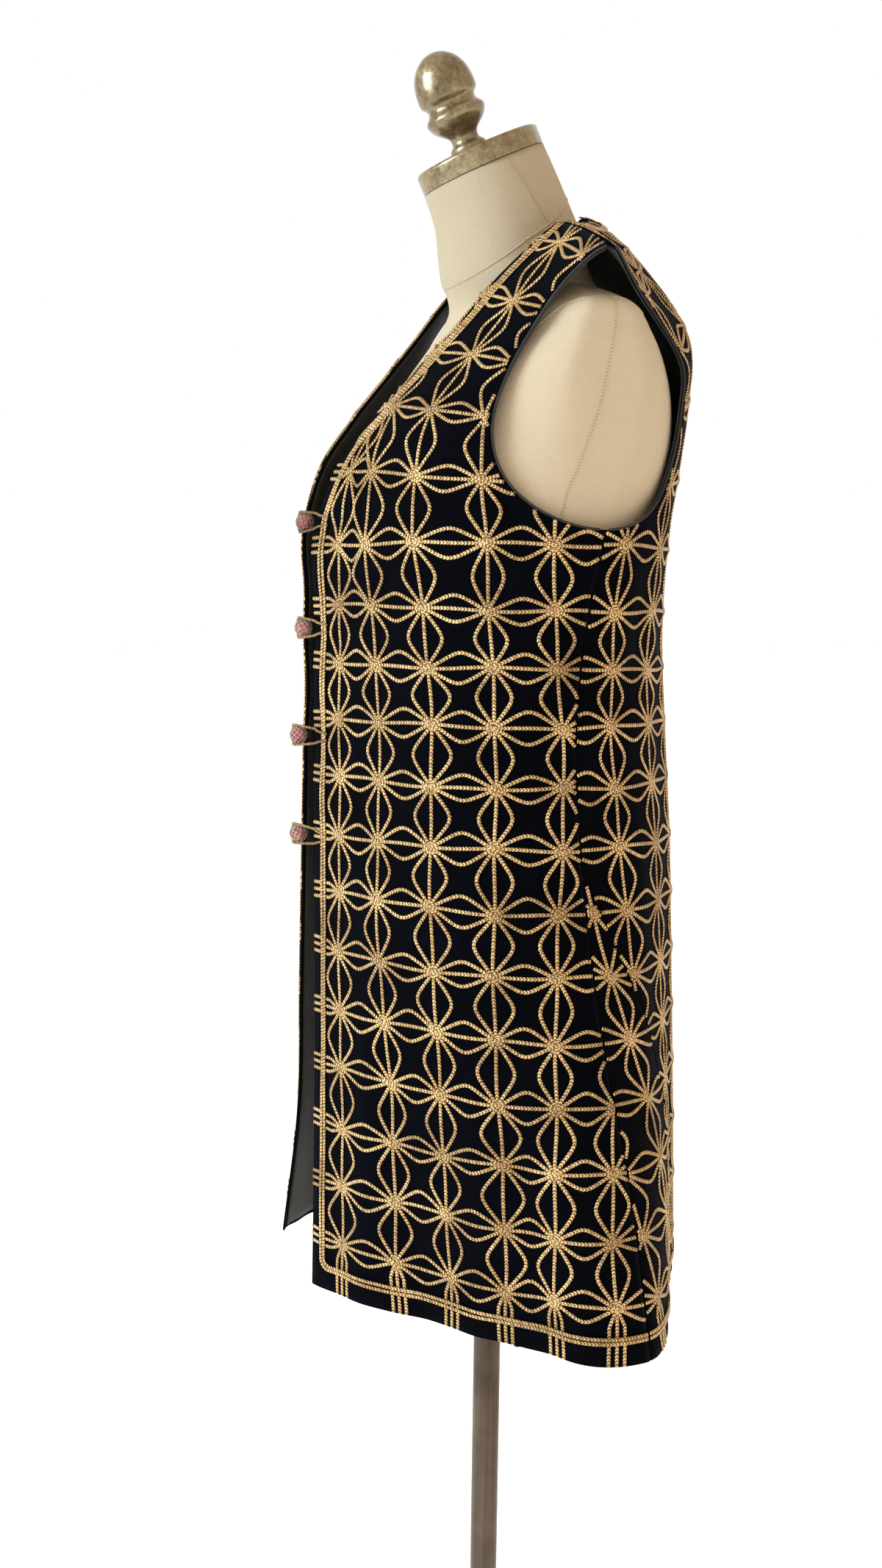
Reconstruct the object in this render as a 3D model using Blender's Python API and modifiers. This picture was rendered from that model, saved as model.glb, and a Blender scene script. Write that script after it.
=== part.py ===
"""An embroidered folk vest on a limbless dress form with its stand.

Metres, +Z up. The front faces -Y and the wearer's left is +X. The origin is on the floor, under the pole.
The cloth is one half ring a side: a place on it is (side, q, level). side is +1 for the wearer's left and
-1 for the right, q runs from 0 at the front edge to 1 at the side and 2 at centre back, and level is the
height on the cloth above the hem, in metres.
"""

import math

import bmesh
import bpy
import numpy as np
from mathutils import Matrix, Vector

LEFT = 1
RIGHT = -1

# ---- the vest's cut -------------------------------------------------------------------------------

UNDERARM = 0.61
NECK_POINT = 0.615
SHOULDER = 0.92
BACK_NECK = 0.868
NECK_HALF_WIDTH = 0.070
ARMHOLE_FRONT = 0.37
ARMHOLE_BACK = 0.37
SHOULDER_SPLAY = 0.016
FRONT_LEAN = 0.30
NECK_LEAN_END = 0.720
GORE_TOP = 0.356
GORE_TIP = 0.341
GORE_WIDTH = 0.150

VELVET = 0.0015
LINING = 0.0010
LAYER_GAP = 0.0005
LINING_GAP = 0.0009
SEAM_INSET = 0.0005
LINING_INSET = 0.004
BRAID = 0.0012
BRAID_WIDTH = 0.007
BRAID_FROM_EDGE = 0.0105
BRAID_FROM_HEM = 0.0150
NECK_BRAID_FROM_EDGE = 0.010
NECK_BRAID_GAP = 0.0016

# How the worn cloth stands. level; the front edge's height and depth; the side's height, width and depth;
# centre back's height and depth; how square the row is near the front edge, the side and centre back.
BODY = (
    (0.000, 0.520, -0.164, 0.508, 0.205, 0.052, 0.526, 0.160, 0.25, 0.30, 0.36),
    (0.120, 0.644, -0.162, 0.636, 0.194, 0.038, 0.647, 0.154, 0.40, 0.42, 0.40),
    (0.240, 0.767, -0.162, 0.762, 0.181, 0.017, 0.768, 0.148, 0.48, 0.50, 0.46),
    (0.350, 0.881, -0.163, 0.879, 0.171, 0.004, 0.879, 0.140, 0.50, 0.55, 0.52),
    (0.450, 0.984, -0.163, 0.984, 0.167, -0.003, 0.984, 0.131, 0.50, 0.55, 0.55),
    (0.550, 1.086, -0.164, 1.084, 0.168, 0.005, 1.084, 0.125, 0.50, 0.55, 0.55),
    (0.610, 1.148, -0.165, 1.146, 0.170, 0.016, 1.150, 0.127, 0.50, 0.55, 0.55),
    (0.660, 1.200, -0.149, 1.182, 0.170, 0.017, 1.210, 0.136, 0.55, 0.55, 0.55),
    (0.710, 1.241, -0.119, 1.215, 0.170, 0.018, 1.270, 0.143, 0.55, 0.55, 0.55),
    (0.760, 1.278, -0.089, 1.248, 0.170, 0.019, 1.326, 0.143, 0.55, 0.55, 0.52),
    (0.810, 1.315, -0.060, 1.281, 0.170, 0.019, 1.374, 0.114, 0.52, 0.52, 0.34),
    (0.860, 1.352, -0.031, 1.315, 0.170, 0.018, 1.410, 0.076, 0.50, 0.50, 0.14),
    (0.920, 1.400, 0.0165, 1.354, 0.170, 0.0165, 1.400, 0.0165, 0.50, 0.50, 0.50),
)

# Where each front edge hangs. level; how far the left edge is from the middle, and the right one;
# how much further forward the right edge is; how much wider the right side stands.
OPENING = (
    (0.000, 0.012, 0.112, -0.007, 0.030),
    (0.120, 0.009, 0.078, -0.009, 0.022),
    (0.240, 0.010, 0.044, -0.002, 0.012),
    (0.350, 0.011, 0.020, 0.002, 0.004),
    (0.450, 0.011, 0.012, 0.003, 0.000),
    (0.550, 0.012, 0.010, 0.003, 0.000),
    (0.610, 0.012, 0.010, 0.003, 0.000),
    (0.920, 0.000, 0.000, 0.000, 0.000),
)

# The largest folds. How far round the fold's middle is: 0 is the left front edge, 1 the left side, 2 centre
# back, 3 the right side and 4 the right front edge; its half width, so; how far it stands out at the hem;
# the level where it dies out.
FOLDS = (
    (0.42, 0.12, -0.004, 0.30),
    (0.86, 0.14, 0.016, 0.34),
    (1.42, 0.20, -0.010, 0.40),
    (2.26, 0.18, 0.024, 0.34),
    (2.62, 0.18, -0.012, 0.40),
    (3.14, 0.14, 0.016, 0.34),
)

ROW_LEVELS = (0.0, BRAID_FROM_HEM, BRAID_FROM_HEM + BRAID_WIDTH, 0.075, 0.130, 0.185, 0.240, 0.290)
ROW_LEVELS += (GORE_TIP, 0.375, 0.430, 0.490, 0.550, UNDERARM)
ARMHOLE_STEPS = (0.010, 0.035, 0.080, 0.145, 0.225, 0.320, 0.420, 0.520, 0.620, 0.720)
NECK_STEPS = (0.842, 0.862, 0.895, 0.945, 1.0)
FRONT_COLUMNS = 7
BACK_COLUMNS = 7
GORE_COLUMNS = 3

# ---- the fastenings -------------------------------------------------------------------------------

BUTTON_RADIUS = 0.0072
BUTTON_LEVELS = (0.615, 0.533, 0.4475, 0.368)
BUTTON_FROM_EDGE = 0.0105
BUTTON_PROUD = 0.0030
SHANK_RADIUS = 0.0012
LOOP_RADIUS = 0.0014
LOOP_FORWARD = 0.0032
FASTENING_GAP = 0.0004

# ---- the dress form and its stand -----------------------------------------------------------------

# height; half width; front and back depth; where the flat arm plate's front and back edges are; how full the
# front and back curves are, 2 being an ellipse; forward tilt in degrees.
FORM = (
    (0.800, 0.138, -0.100, 0.100, 0.000, 0.000, 2.25, 2.25, 0),
    (0.806, 0.146, -0.108, 0.108, 0.000, 0.000, 2.25, 2.25, 0),
    (0.870, 0.152, -0.118, 0.116, -0.001, -0.001, 2.25, 2.25, 0),
    (0.930, 0.143, -0.112, 0.108, -0.002, -0.002, 2.25, 2.25, 0),
    (0.990, 0.127, -0.103, 0.094, -0.004, -0.004, 2.25, 2.25, 0),
    (1.050, 0.132, -0.116, 0.096, -0.008, -0.006, 2.25, 2.25, 0),
    (1.110, 0.147, -0.134, 0.104, -0.004, 0.006, 2.10, 2.20, 0),
    (1.150, 0.157, -0.140, 0.110, 0.005, 0.018, 2.00, 2.00, 0),
    (1.190, 0.158, -0.126, 0.119, 0.000, 0.036, 2.00, 2.00, 0),
    (1.230, 0.158, -0.104, 0.128, -0.004, 0.048, 1.80, 1.80, 0),
    (1.270, 0.158, -0.080, 0.125, -0.006, 0.052, 1.60, 1.60, 0),
    (1.300, 0.156, -0.060, 0.117, 0.003, 0.047, 1.40, 1.40, 0),
    (1.318, 0.149, -0.047, 0.102, 0.009, 0.040, 1.40, 1.40, 0),
    (1.332, 0.116, -0.047, 0.089, 0.012, 0.034, 1.20, 1.40, 1),
    (1.345, 0.072, -0.049, 0.080, 0.010, 0.018, 1.50, 1.80, 3),
    (1.358, 0.0585, -0.052, 0.072, 0.006, 0.006, 2.00, 2.00, 5),
    (1.378, 0.0535, -0.055, 0.067, -0.002, -0.002, 2.10, 2.10, 9),
    (1.410, 0.0505, -0.060, 0.051, -0.009, -0.009, 2.10, 2.10, 15),
    (1.442, 0.0505, -0.072, 0.032, -0.020, -0.020, 2.10, 2.10, 25.4),
)
FORM_SEGMENTS = 32

CAP_RADIUS = 0.0525
CAP_THICKNESS = 0.0165
CAP_TILT = 25.4
CAP_GAP = 0.0003
FINIAL_FORWARD = 0.005

# The turned finial, radius and height above the cap.
FINIAL = (
    (0.0150, 0.0000),
    (0.0150, 0.0050),
    (0.0115, 0.0090),
    (0.0125, 0.0150),
    (0.0205, 0.0220),
    (0.0245, 0.0280),
    (0.0245, 0.0320),
    (0.0205, 0.0370),
    (0.0205, 0.0410),
    (0.0240, 0.0450),
    (0.0245, 0.0510),
    (0.0236, 0.0590),
    (0.0210, 0.0670),
    (0.0160, 0.0740),
    (0.0090, 0.0790),
    (0.0030, 0.0808),
)

TUBE_RADIUS = 0.0118
TUBE_BORE = 0.0095
TUBE_TOP = 0.485
INNER_POLE_RADIUS = 0.0092
INNER_POLE_BOTTOM = 0.200
INNER_POLE_DEPTH_IN_FORM = 0.080
NUT_HEIGHT = 0.454
NUT_ACROSS = 0.0125
NUT_LENGTH = 0.0068
SCREW_DIRECTION = 57.4
SCREW_RADIUS = 0.0030
SCREW_LENGTH = 0.0220
BAR_RADIUS = 0.0017
BAR_HALF_LENGTH = 0.0160
BAR_TURN = 15.0
BALL_RADIUS = 0.0050
BASE_RADIUS = 0.175
BASE_HEIGHT = 0.022
HUB_RADIUS = 0.026
HUB_HEIGHT = 0.050


# ---- scene helpers --------------------------------------------------------------------------------


def clear_scene():
    for old in list(bpy.data.objects):
        bpy.data.objects.remove(old, do_unlink=True)


def collection(name):
    made = bpy.data.collections.new(name)
    bpy.context.scene.collection.children.link(made)
    return made


def material(name, colour, roughness, metallic=0.0):
    made = bpy.data.materials.new(name)
    made.use_nodes = True
    shader = made.node_tree.nodes["Principled BSDF"]
    shader.inputs["Base Color"].default_value = (*colour, 1.0)
    shader.inputs["Roughness"].default_value = roughness
    shader.inputs["Metallic"].default_value = metallic
    made.diffuse_color = (*colour, 1.0)
    return made


def add_object(name, mesh, home, finish):
    made = bpy.data.objects.new(name, mesh)
    made.data.materials.append(finish)
    home.objects.link(made)
    return made


def take_primitive(name, home, finish):
    """Names the object that the last primitive operator made and moves it to its collection."""
    made = bpy.context.object
    made.name = name
    made.data.name = name
    for old in list(made.users_collection):
        old.objects.unlink(made)
    home.objects.link(made)
    made.data.materials.append(finish)
    return made


def solidify(made, thickness, offset):
    shell = made.modifiers.new("thickness", "SOLIDIFY")
    shell.thickness = thickness
    shell.offset = offset
    shell.use_even_offset = True


def smooth_shade(made, degrees=35.0):
    made.data.shade_smooth()
    made.data.set_sharp_from_angle(angle=math.radians(degrees))


# ---- the cloth's surface --------------------------------------------------------------------------


def table_at(table, place):
    """Every column of a table at one place in its first column, on a smooth curve through the rows."""
    rows = np.array(table, float)
    known = rows[:, 0]
    values = rows[:, 1:]
    slopes = np.gradient(values, known, axis=0)
    i = int(np.clip(np.searchsorted(known, place, side="right") - 1, 0, len(known) - 2))
    step = known[i + 1] - known[i]
    t = (place - known[i]) / step
    near = (1 + 2 * t) * (1 - t) ** 2 * values[i] + t * (1 - t) ** 2 * step * slopes[i]
    far = t * t * (3 - 2 * t) * values[i + 1] - t * t * (1 - t) * step * slopes[i + 1]
    return near + far


def curve_point(corners, t):
    """Points of a cubic Bezier curve with those four corners."""
    t = np.atleast_1d(t)[:, None]
    a, b, c, d = corners
    return (1 - t) ** 3 * a + 3 * t * (1 - t) ** 2 * b + 3 * t * t * (1 - t) * c + t**3 * d


def quarter(start, end, start_round, end_round, start_lean=0.0):
    """The corners of a quarter row from a middle point, where it runs across, to a side, where it runs along."""
    out = start_round * (end[0] - start[0])
    corner_a = np.array((start[0] + out, start[1] + start_lean * out, start[2]))
    corner_b = np.array((end[0], end[1] + end_round * (start[1] - end[1]), end[2]))
    return np.array(start), corner_a, corner_b, np.array(end)


def splay(level):
    """How far the front and back draw apart at the armhole, so that the shoulder's ridge is a rounded one."""
    s = max(0.0, (level - UNDERARM) / (SHOULDER - UNDERARM))
    widest = 0.8
    return SHOULDER_SPLAY * s * s * (1.0 - s) ** 0.5 / (widest**2 * (1.0 - widest) ** 0.5)


def quarters(side, level):
    """The front and back quarter rows at a level, on the positive X side."""
    front_z, front_y, side_z, side_x, side_y, back_z, back_y, round_f, round_s, round_b = table_at(BODY, level)
    left_x, right_x, right_forward, right_wider = table_at(OPENING, level)
    edge_x = left_x
    edge_y = front_y
    if side == RIGHT:
        edge_x = right_x
        edge_y = front_y - right_forward
        side_x = side_x + right_wider
    apart = splay(level)
    lean = FRONT_LEAN * min(1.0, max(0.0, (NECK_LEAN_END - level) / (NECK_LEAN_END - NECK_POINT)))
    front = quarter((edge_x, edge_y, front_z), (side_x, side_y - apart, side_z), round_f, round_s, lean)
    back = quarter((0.0, back_y, back_z), (side_x, side_y + apart, side_z), round_b, round_s)
    return front, back


def length_shares(corners):
    """(t, share of the length, whole length) along a quarter row."""
    t = np.linspace(0.0, 1.0, 33)
    points = curve_point(corners, t)
    run = np.concatenate(([0.0], np.cumsum(np.linalg.norm(np.diff(points, axis=0), axis=1))))
    return t, run / run[-1], run[-1]


def front_width(side, level):
    return length_shares(quarters(side, level)[0])[2]


def back_width(side, level):
    return length_shares(quarters(side, level)[1])[2]


def fold_height(side, q, level):
    """How far the folds push the cloth out at q and level."""
    around = q if side == LEFT else 4.0 - q
    out = np.zeros_like(q)
    for middle, half_width, depth, top in FOLDS:
        if level < top:
            fade = (1.0 - level / top) ** 1.4
            out = out + depth * fade * np.exp(-(((around - middle) / half_width) ** 2))
    return out


def row_points(side, q, level):
    """Points on the cloth's outer face at one level, for an array of q."""
    q = np.asarray(q, float)
    front, back = quarters(side, level)
    points = np.zeros((len(q), 3))
    outward = np.zeros((len(q), 2))
    for corners, inside, share in ((front, q <= 1.0, q), (back, q > 1.0, 2.0 - q)):
        t_known, shares, _ = length_shares(corners)
        t = np.interp(share[inside], shares, t_known)
        here = curve_point(corners, t)
        ahead = curve_point(corners, np.minimum(t + 1e-3, 1.0)) - curve_point(corners, np.maximum(t - 1e-3, 0.0))
        turn = -1.0 if corners is front else 1.0
        points[inside] = here
        outward[inside] = turn * np.stack((-ahead[:, 1], ahead[:, 0]), axis=1)
    outward /= np.linalg.norm(outward, axis=1)[:, None]
    points[:, :2] += fold_height(side, q, level)[:, None] * outward
    points[:, 0] *= side
    return points


def ring_points(side, q, level):
    """As row_points, and past q of 2 it carries on round the other side."""
    q = np.clip(np.asarray(q, float), 0.0, None)
    points = row_points(side, np.minimum(q, 2.0), level)
    past = q > 2.0
    if past.any():
        points[past] = row_points(-side, 4.0 - q[past], level)
    return points


def grid_points(side, q_rows, levels, depth=0.0):
    """A grid of cloth points moved in by depth along the surface's normal. q_rows holds an array of q a row."""
    dq = 0.004
    dl = 0.002
    rows = []
    for q, level in zip(q_rows, levels):
        q = np.asarray(q, float)
        here = row_points(side, q, level)
        along = ring_points(side, q + dq, level) - ring_points(side, q - dq, level)
        low = max(level - dl, 0.0)
        high = min(level + dl, SHOULDER)
        up = row_points(side, q, high) - row_points(side, q, low)
        normal = np.cross(along, up) * side
        normal /= np.linalg.norm(normal, axis=1)[:, None]
        rows.append(here - depth * normal)
    return rows


def armhole_share(level):
    """How deep the armhole is cut at a level, from 0 at the underarm and shoulder to 1 at its deepest."""
    s = (level - UNDERARM) / (SHOULDER - UNDERARM)
    deepest = 0.357
    shape = s**0.5 * (1.0 - s) ** 0.9
    return shape / (deepest**0.5 * (1.0 - deepest) ** 0.9)


def front_edge_q(side, level, inset=0.0):
    """q of the front edge and, above its corner, of the V neck."""
    width = front_width(side, level)
    cut = 0.0
    if level > NECK_POINT:
        cut = NECK_HALF_WIDTH * (level - NECK_POINT) / (SHOULDER - NECK_POINT)
    return (cut + inset) / width


def seam_inset(level, depth):
    """How far a layer at that depth stops short of a side seam. At the gores the cloth bends on the seam."""
    if level < GORE_TOP:
        return SEAM_INSET + 0.35 * depth
    return SEAM_INSET


def front_side_q(side, level, depth=0.0):
    """q of the front's side seam and, above it, of the armhole."""
    cut = seam_inset(level, depth) / front_width(side, level)
    if level > UNDERARM:
        cut += ARMHOLE_FRONT * armhole_share(level)
    return 1.0 - cut


def back_side_q(side, level, inset):
    """q of the back's side seam, below which the gore is let in, and of the armhole above it."""
    width = back_width(side, level)
    cut = inset / width
    if level > UNDERARM:
        cut += ARMHOLE_BACK * armhole_share(level)
    if level < GORE_TOP:
        cut += GORE_WIDTH * (1.0 - level / GORE_TOP) / width
    return 1.0 + cut


def back_middle_q(side, level, inset=0.0):
    """q of centre back and, above it, of the back neck."""
    if level <= BACK_NECK:
        return 2.0
    up = (level - BACK_NECK) / (SHOULDER - BACK_NECK)
    half = NECK_HALF_WIDTH * math.sqrt(1.0 - (1.0 - up) ** 2)
    return 2.0 - (half + inset) / back_width(side, level)


# ---- the cloth's pieces ---------------------------------------------------------------------------


def upper_levels(depth):
    """The rows' levels above the underarm. The last is the shoulder seam, kept clear of the other panel's."""
    steps = [*ARMHOLE_STEPS, (BACK_NECK - UNDERARM) / (SHOULDER - UNDERARM), *NECK_STEPS]
    levels = [UNDERARM + s * (SHOULDER - UNDERARM) for s in steps]
    levels[-1] -= SEAM_INSET + 0.9 * depth
    return levels


def all_levels(depth, hem_inset):
    """Every row's level, with the hem drawn up by hem_inset. A lining keeps the velvet's own rows."""
    return [hem_inset, *ROW_LEVELS[1:], *upper_levels(depth)]


def front_rows(side, levels, edge_inset, depth):
    """q of each grid point of a front: the edge, both sides of the edge braid, then evenly to the side."""
    rows = []
    for level in levels:
        width = front_width(side, level)
        first = front_edge_q(side, level, edge_inset)
        braid = front_edge_q(side, level, BRAID_FROM_EDGE)
        last = front_side_q(side, level, depth)
        even = np.linspace(braid + BRAID_WIDTH / width, last, FRONT_COLUMNS - 1)
        rows.append(np.array([first, braid, *even]))
    return rows


def back_rows(side, levels, neck_inset, depth):
    rows = []
    for level in levels:
        first = back_side_q(side, level, seam_inset(level, depth))
        rows.append(np.linspace(first, back_middle_q(side, level, neck_inset), BACK_COLUMNS))
    return rows


def gore_rows(side, levels, depth):
    rows = []
    for level in levels:
        inset = seam_inset(level, depth)
        first = 1.0 + inset / back_width(side, level)
        last = back_side_q(side, level, -inset)
        rows.append(np.linspace(first, last, GORE_COLUMNS + 1))
    return rows


def grid_faces(mesh, rows, wanted=None):
    """Adds a grid's faces to a bmesh. wanted(i, j) says which of its cells to make."""
    made = {}

    def vertex(i, j):
        if (i, j) not in made:
            made[i, j] = mesh.verts.new(rows[i][j])
        return made[i, j]

    for i in range(len(rows) - 1):
        for j in range(len(rows[0]) - 1):
            if wanted is None or wanted(i, j):
                mesh.faces.new([vertex(i, j), vertex(i, j + 1), vertex(i + 1, j + 1), vertex(i + 1, j)])


def cloth_object(name, grids, thickness, offset, home, finish, wanted=None):
    """A panel from one or two grids, welded where they meet, and given its thickness."""
    work = bmesh.new()
    for side, rows in grids:
        before = set(work.faces)
        grid_faces(work, rows, wanted)
        if side == RIGHT:
            bmesh.ops.reverse_faces(work, faces=[f for f in work.faces if f not in before])
    bmesh.ops.remove_doubles(work, verts=work.verts, dist=1e-5)
    mesh = bpy.data.meshes.new(name)
    work.to_mesh(mesh)
    work.free()
    made = add_object(name, mesh, home, finish)
    solidify(made, thickness, offset)
    smooth_shade(made)
    return made


def side_name(side):
    return "left" if side == LEFT else "right"


def build_velvet(home, finish):
    levels = all_levels(VELVET, 0.0)
    for side in (LEFT, RIGHT):
        rows = grid_points(side, front_rows(side, levels, 0.0, VELVET), levels)
        cloth_object(f"front_{side_name(side)}", [(side, rows)], VELVET, -1.0, home, finish)
    halves = [
        (side, grid_points(side, back_rows(side, levels, 0.0, VELVET), levels)) for side in (LEFT, RIGHT)
    ]
    cloth_object("back", halves, VELVET, -1.0, home, finish)
    gore_levels = [v for v in levels if v <= GORE_TIP]
    for side in (LEFT, RIGHT):
        rows = grid_points(side, gore_rows(side, gore_levels, VELVET), gore_levels)
        cloth_object(f"gore_{side_name(side)}", [(side, rows)], VELVET, -1.0, home, finish)


def build_lining(home, finish):
    depth = VELVET + LINING_GAP
    levels = all_levels(depth + LINING, LINING_INSET)
    for side in (LEFT, RIGHT):
        q_rows = front_rows(side, levels, LINING_INSET, depth + LINING)
        rows = grid_points(side, q_rows, levels, depth)
        cloth_object(f"lining_front_{side_name(side)}", [(side, rows)], LINING, -1.0, home, finish)
    halves = [
        (side, grid_points(side, back_rows(side, levels, 0.0, depth + LINING), levels, depth))
        for side in (LEFT, RIGHT)
    ]
    cloth_object("lining_back", halves, LINING, -1.0, home, finish)
    gore_levels = [v for v in levels if v <= GORE_TIP]
    for side in (LEFT, RIGHT):
        rows = grid_points(side, gore_rows(side, gore_levels, depth + LINING), gore_levels, depth)
        cloth_object(f"lining_gore_{side_name(side)}", [(side, rows)], LINING, -1.0, home, finish)


def build_edge_braids(home, finish):
    """The braids lie on the panels' own grid points, moved out: the strip beside the edge and above the hem."""
    levels = all_levels(VELVET, 0.0)
    for side in (LEFT, RIGHT):
        rows = grid_points(side, front_rows(side, levels, 0.0, VELVET), levels, -LAYER_GAP)
        cloth_object(
            f"edge_braid_{side_name(side)}",
            [(side, rows)],
            BRAID,
            1.0,
            home,
            finish,
            lambda i, j: (i == 1 and j >= 1) or (j == 1 and i >= 1),
        )
        gore_levels = [v for v in levels if v <= GORE_TIP]
        rows = grid_points(side, gore_rows(side, gore_levels, VELVET), gore_levels, -LAYER_GAP)
        name = f"gore_braid_{side_name(side)}"
        cloth_object(name, [(side, rows)], BRAID, 1.0, home, finish, lambda i, j: i == 1)
    halves = [
        (side, grid_points(side, back_rows(side, levels, 0.0, VELVET), levels, -LAYER_GAP))
        for side in (LEFT, RIGHT)
    ]
    cloth_object("hem_braid_back", halves, BRAID, 1.0, home, finish, lambda i, j: i == 1)


def build_neck_braid(home, finish):
    """The braid round the back neck, a strip of its own finer grid from shoulder seam to shoulder seam."""
    steps = 9
    halves = []
    for side in (LEFT, RIGHT):
        rows = []
        for k in range(steps + 1):
            turn = 0.5 * math.pi * k / steps
            strip = []
            for out in (NECK_BRAID_FROM_EDGE, NECK_BRAID_FROM_EDGE + BRAID_WIDTH):
                drop = SHOULDER - 0.0030 - (SHOULDER - BACK_NECK) * math.cos(turn) - out * math.cos(turn)
                width = back_width(side, drop)
                across = (NECK_HALF_WIDTH + out) * math.sin(turn) / width
                strip.append(grid_points(side, [np.array([2.0 - across])], [drop], -NECK_BRAID_GAP)[0][0])
            rows.append(strip)
        halves.append((side, rows))
    cloth_object("neck_braid_back", halves, BRAID, 1.0, home, finish)


# ---- the fastenings -------------------------------------------------------------------------------


def tube(name, points, radius, home, finish, closed=False):
    """A round cord through points, as a closed mesh."""
    line = bpy.data.curves.new(name, "CURVE")
    line.dimensions = "3D"
    line.bevel_depth = radius
    line.bevel_resolution = 2
    line.use_fill_caps = not closed
    spline = line.splines.new("POLY")
    spline.points.add(len(points) - 1)
    for target, point in zip(spline.points, points):
        target.co = (*point, 1.0)
    spline.use_cyclic_u = closed
    holder = bpy.data.objects.new(name + "_line", line)
    home.objects.link(holder)
    bpy.context.view_layer.update()
    evaluated = holder.evaluated_get(bpy.context.evaluated_depsgraph_get())
    mesh = bpy.data.meshes.new_from_object(evaluated)
    bpy.data.objects.remove(holder, do_unlink=True)
    work = bmesh.new()
    work.from_mesh(mesh)
    bmesh.ops.remove_doubles(work, verts=work.verts, dist=1e-5)
    bmesh.ops.recalc_face_normals(work, faces=work.faces)
    work.to_mesh(mesh)
    work.free()
    mesh.name = name
    mesh.materials.clear()
    made = add_object(name, mesh, home, finish)
    smooth_shade(made)
    return made


def build_fastenings(home, ball_finish, cord_finish):
    """Ball buttons standing on shanks off the right front's edge, each in a cord loop on the left front's."""
    for number, level in enumerate(BUTTON_LEVELS, 1):
        left = Vector(row_points(LEFT, [0.0], level)[0])
        right = Vector(row_points(RIGHT, [0.0], level)[0])
        centre = right + Vector((BUTTON_FROM_EDGE, -BUTTON_PROUD, 0.0))
        bpy.ops.mesh.primitive_uv_sphere_add(segments=12, ring_count=8, radius=BUTTON_RADIUS, location=centre)
        ball = take_primitive(f"button_{number}", home, ball_finish)
        smooth_shade(ball)
        edge = right + Vector((FASTENING_GAP, VELVET / 2, 0.0))
        toward = (edge - centre).normalized()
        start = centre + toward * (BUTTON_RADIUS + FASTENING_GAP)
        tube(f"shank_{number}", [start, edge], SHANK_RADIUS, home, cord_finish)
        build_loop(number, centre, left, home, cord_finish)


def build_loop(number, centre, left, home, finish):
    """A cord loop from the left edge round the ball, in front of its shank."""
    clear = BUTTON_RADIUS + LOOP_RADIUS + FASTENING_GAP
    around = math.sqrt(clear**2 - LOOP_FORWARD**2)
    middle = centre - Vector((0.0, LOOP_FORWARD, 0.0))
    reach = left.x - LOOP_RADIUS - FASTENING_GAP - middle.x
    points = [middle + Vector((reach, 0.0, around)), middle + Vector((0.5 * reach, 0.0, around))]
    for k in range(9):
        turn = math.pi * k / 8
        points.append(middle + around * Vector((-math.sin(turn), 0.0, math.cos(turn))))
    points += [middle + Vector((0.5 * reach, 0.0, -around)), middle + Vector((reach, 0.0, -around))]
    tube(f"loop_{number}", points, LOOP_RADIUS, home, finish)


# ---- the dress form -------------------------------------------------------------------------------


def form_ring(height, half_width, front, back, plate_front, plate_back, full_front, full_back, tilt):
    """One ring of the form: a full curve in front and behind, and a flat arm plate at each side."""
    middle = Vector((0.0, (front + back) / 2, height))
    turn = Matrix.Rotation(math.radians(tilt), 3, "X")
    points = []
    for k in range(FORM_SEGMENTS):
        angle = 2 * math.pi * (k + 0.5) / FORM_SEGMENTS
        across = math.cos(angle)
        along = math.sin(angle)
        edge, reach, full = (plate_back, back, full_back) if along > 0 else (plate_front, front, full_front)
        x = half_width * math.copysign(abs(across) ** (2 / full), across)
        y = edge + (reach - edge) * abs(along) ** (2 / full)
        points.append(middle + turn @ Vector((x, y - middle.y, 0.0)))
    return points


def build_form(home, cutters, finish):
    """The torso and neck, lofted through its rings, with a socket up the middle for the pole."""
    work = bmesh.new()
    rings = [[work.verts.new(p) for p in form_ring(*row)] for row in FORM]
    for low, high in zip(rings, rings[1:]):
        for k in range(FORM_SEGMENTS):
            n = (k + 1) % FORM_SEGMENTS
            work.faces.new([low[k], low[n], high[n], high[k]])
    work.faces.new(list(reversed(rings[0])))
    work.faces.new(rings[-1])
    mesh = bpy.data.meshes.new("form_body")
    work.to_mesh(mesh)
    work.free()
    body = add_object("form_body", mesh, home, finish)
    depth = INNER_POLE_DEPTH_IN_FORM + 0.0003
    bpy.ops.mesh.primitive_cylinder_add(
        vertices=24,
        radius=INNER_POLE_RADIUS + 0.0003,
        depth=2 * depth,
        location=(0.0, 0.0, FORM[0][0]),
    )
    socket = take_primitive("socket_cutter", cutters, finish)
    socket.hide_render = True
    socket.display_type = "WIRE"
    cut = body.modifiers.new("socket", "BOOLEAN")
    cut.operation = "DIFFERENCE"
    cut.object = socket
    smooth_shade(body, 40)
    return body


def turned(name, profile, segments, home, finish):
    """A solid turned about its own Z axis, from (radius, height) points given from the top down."""
    mesh = bpy.data.meshes.new(name)
    points = [(r, 0.0, z) for r, z in profile]
    mesh.from_pydata(points, [(k, k + 1) for k in range(len(points) - 1)], [])
    made = add_object(name, mesh, home, finish)
    screw = made.modifiers.new("turn", "SCREW")
    screw.steps = segments
    screw.render_steps = segments
    screw.use_merge_vertices = True
    screw.merge_threshold = 0.00005
    weld = made.modifiers.new("weld", "WELD")
    weld.merge_threshold = 0.00005
    smooth_shade(made)
    return made


def neck_seat():
    """The middle of the neck's top, and the turn that tilts what sits on it."""
    height, _, front, back, *_, tilt = FORM[-1]
    return Vector((0.0, (front + back) / 2, height)), Matrix.Rotation(math.radians(tilt), 4, "X")


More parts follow.
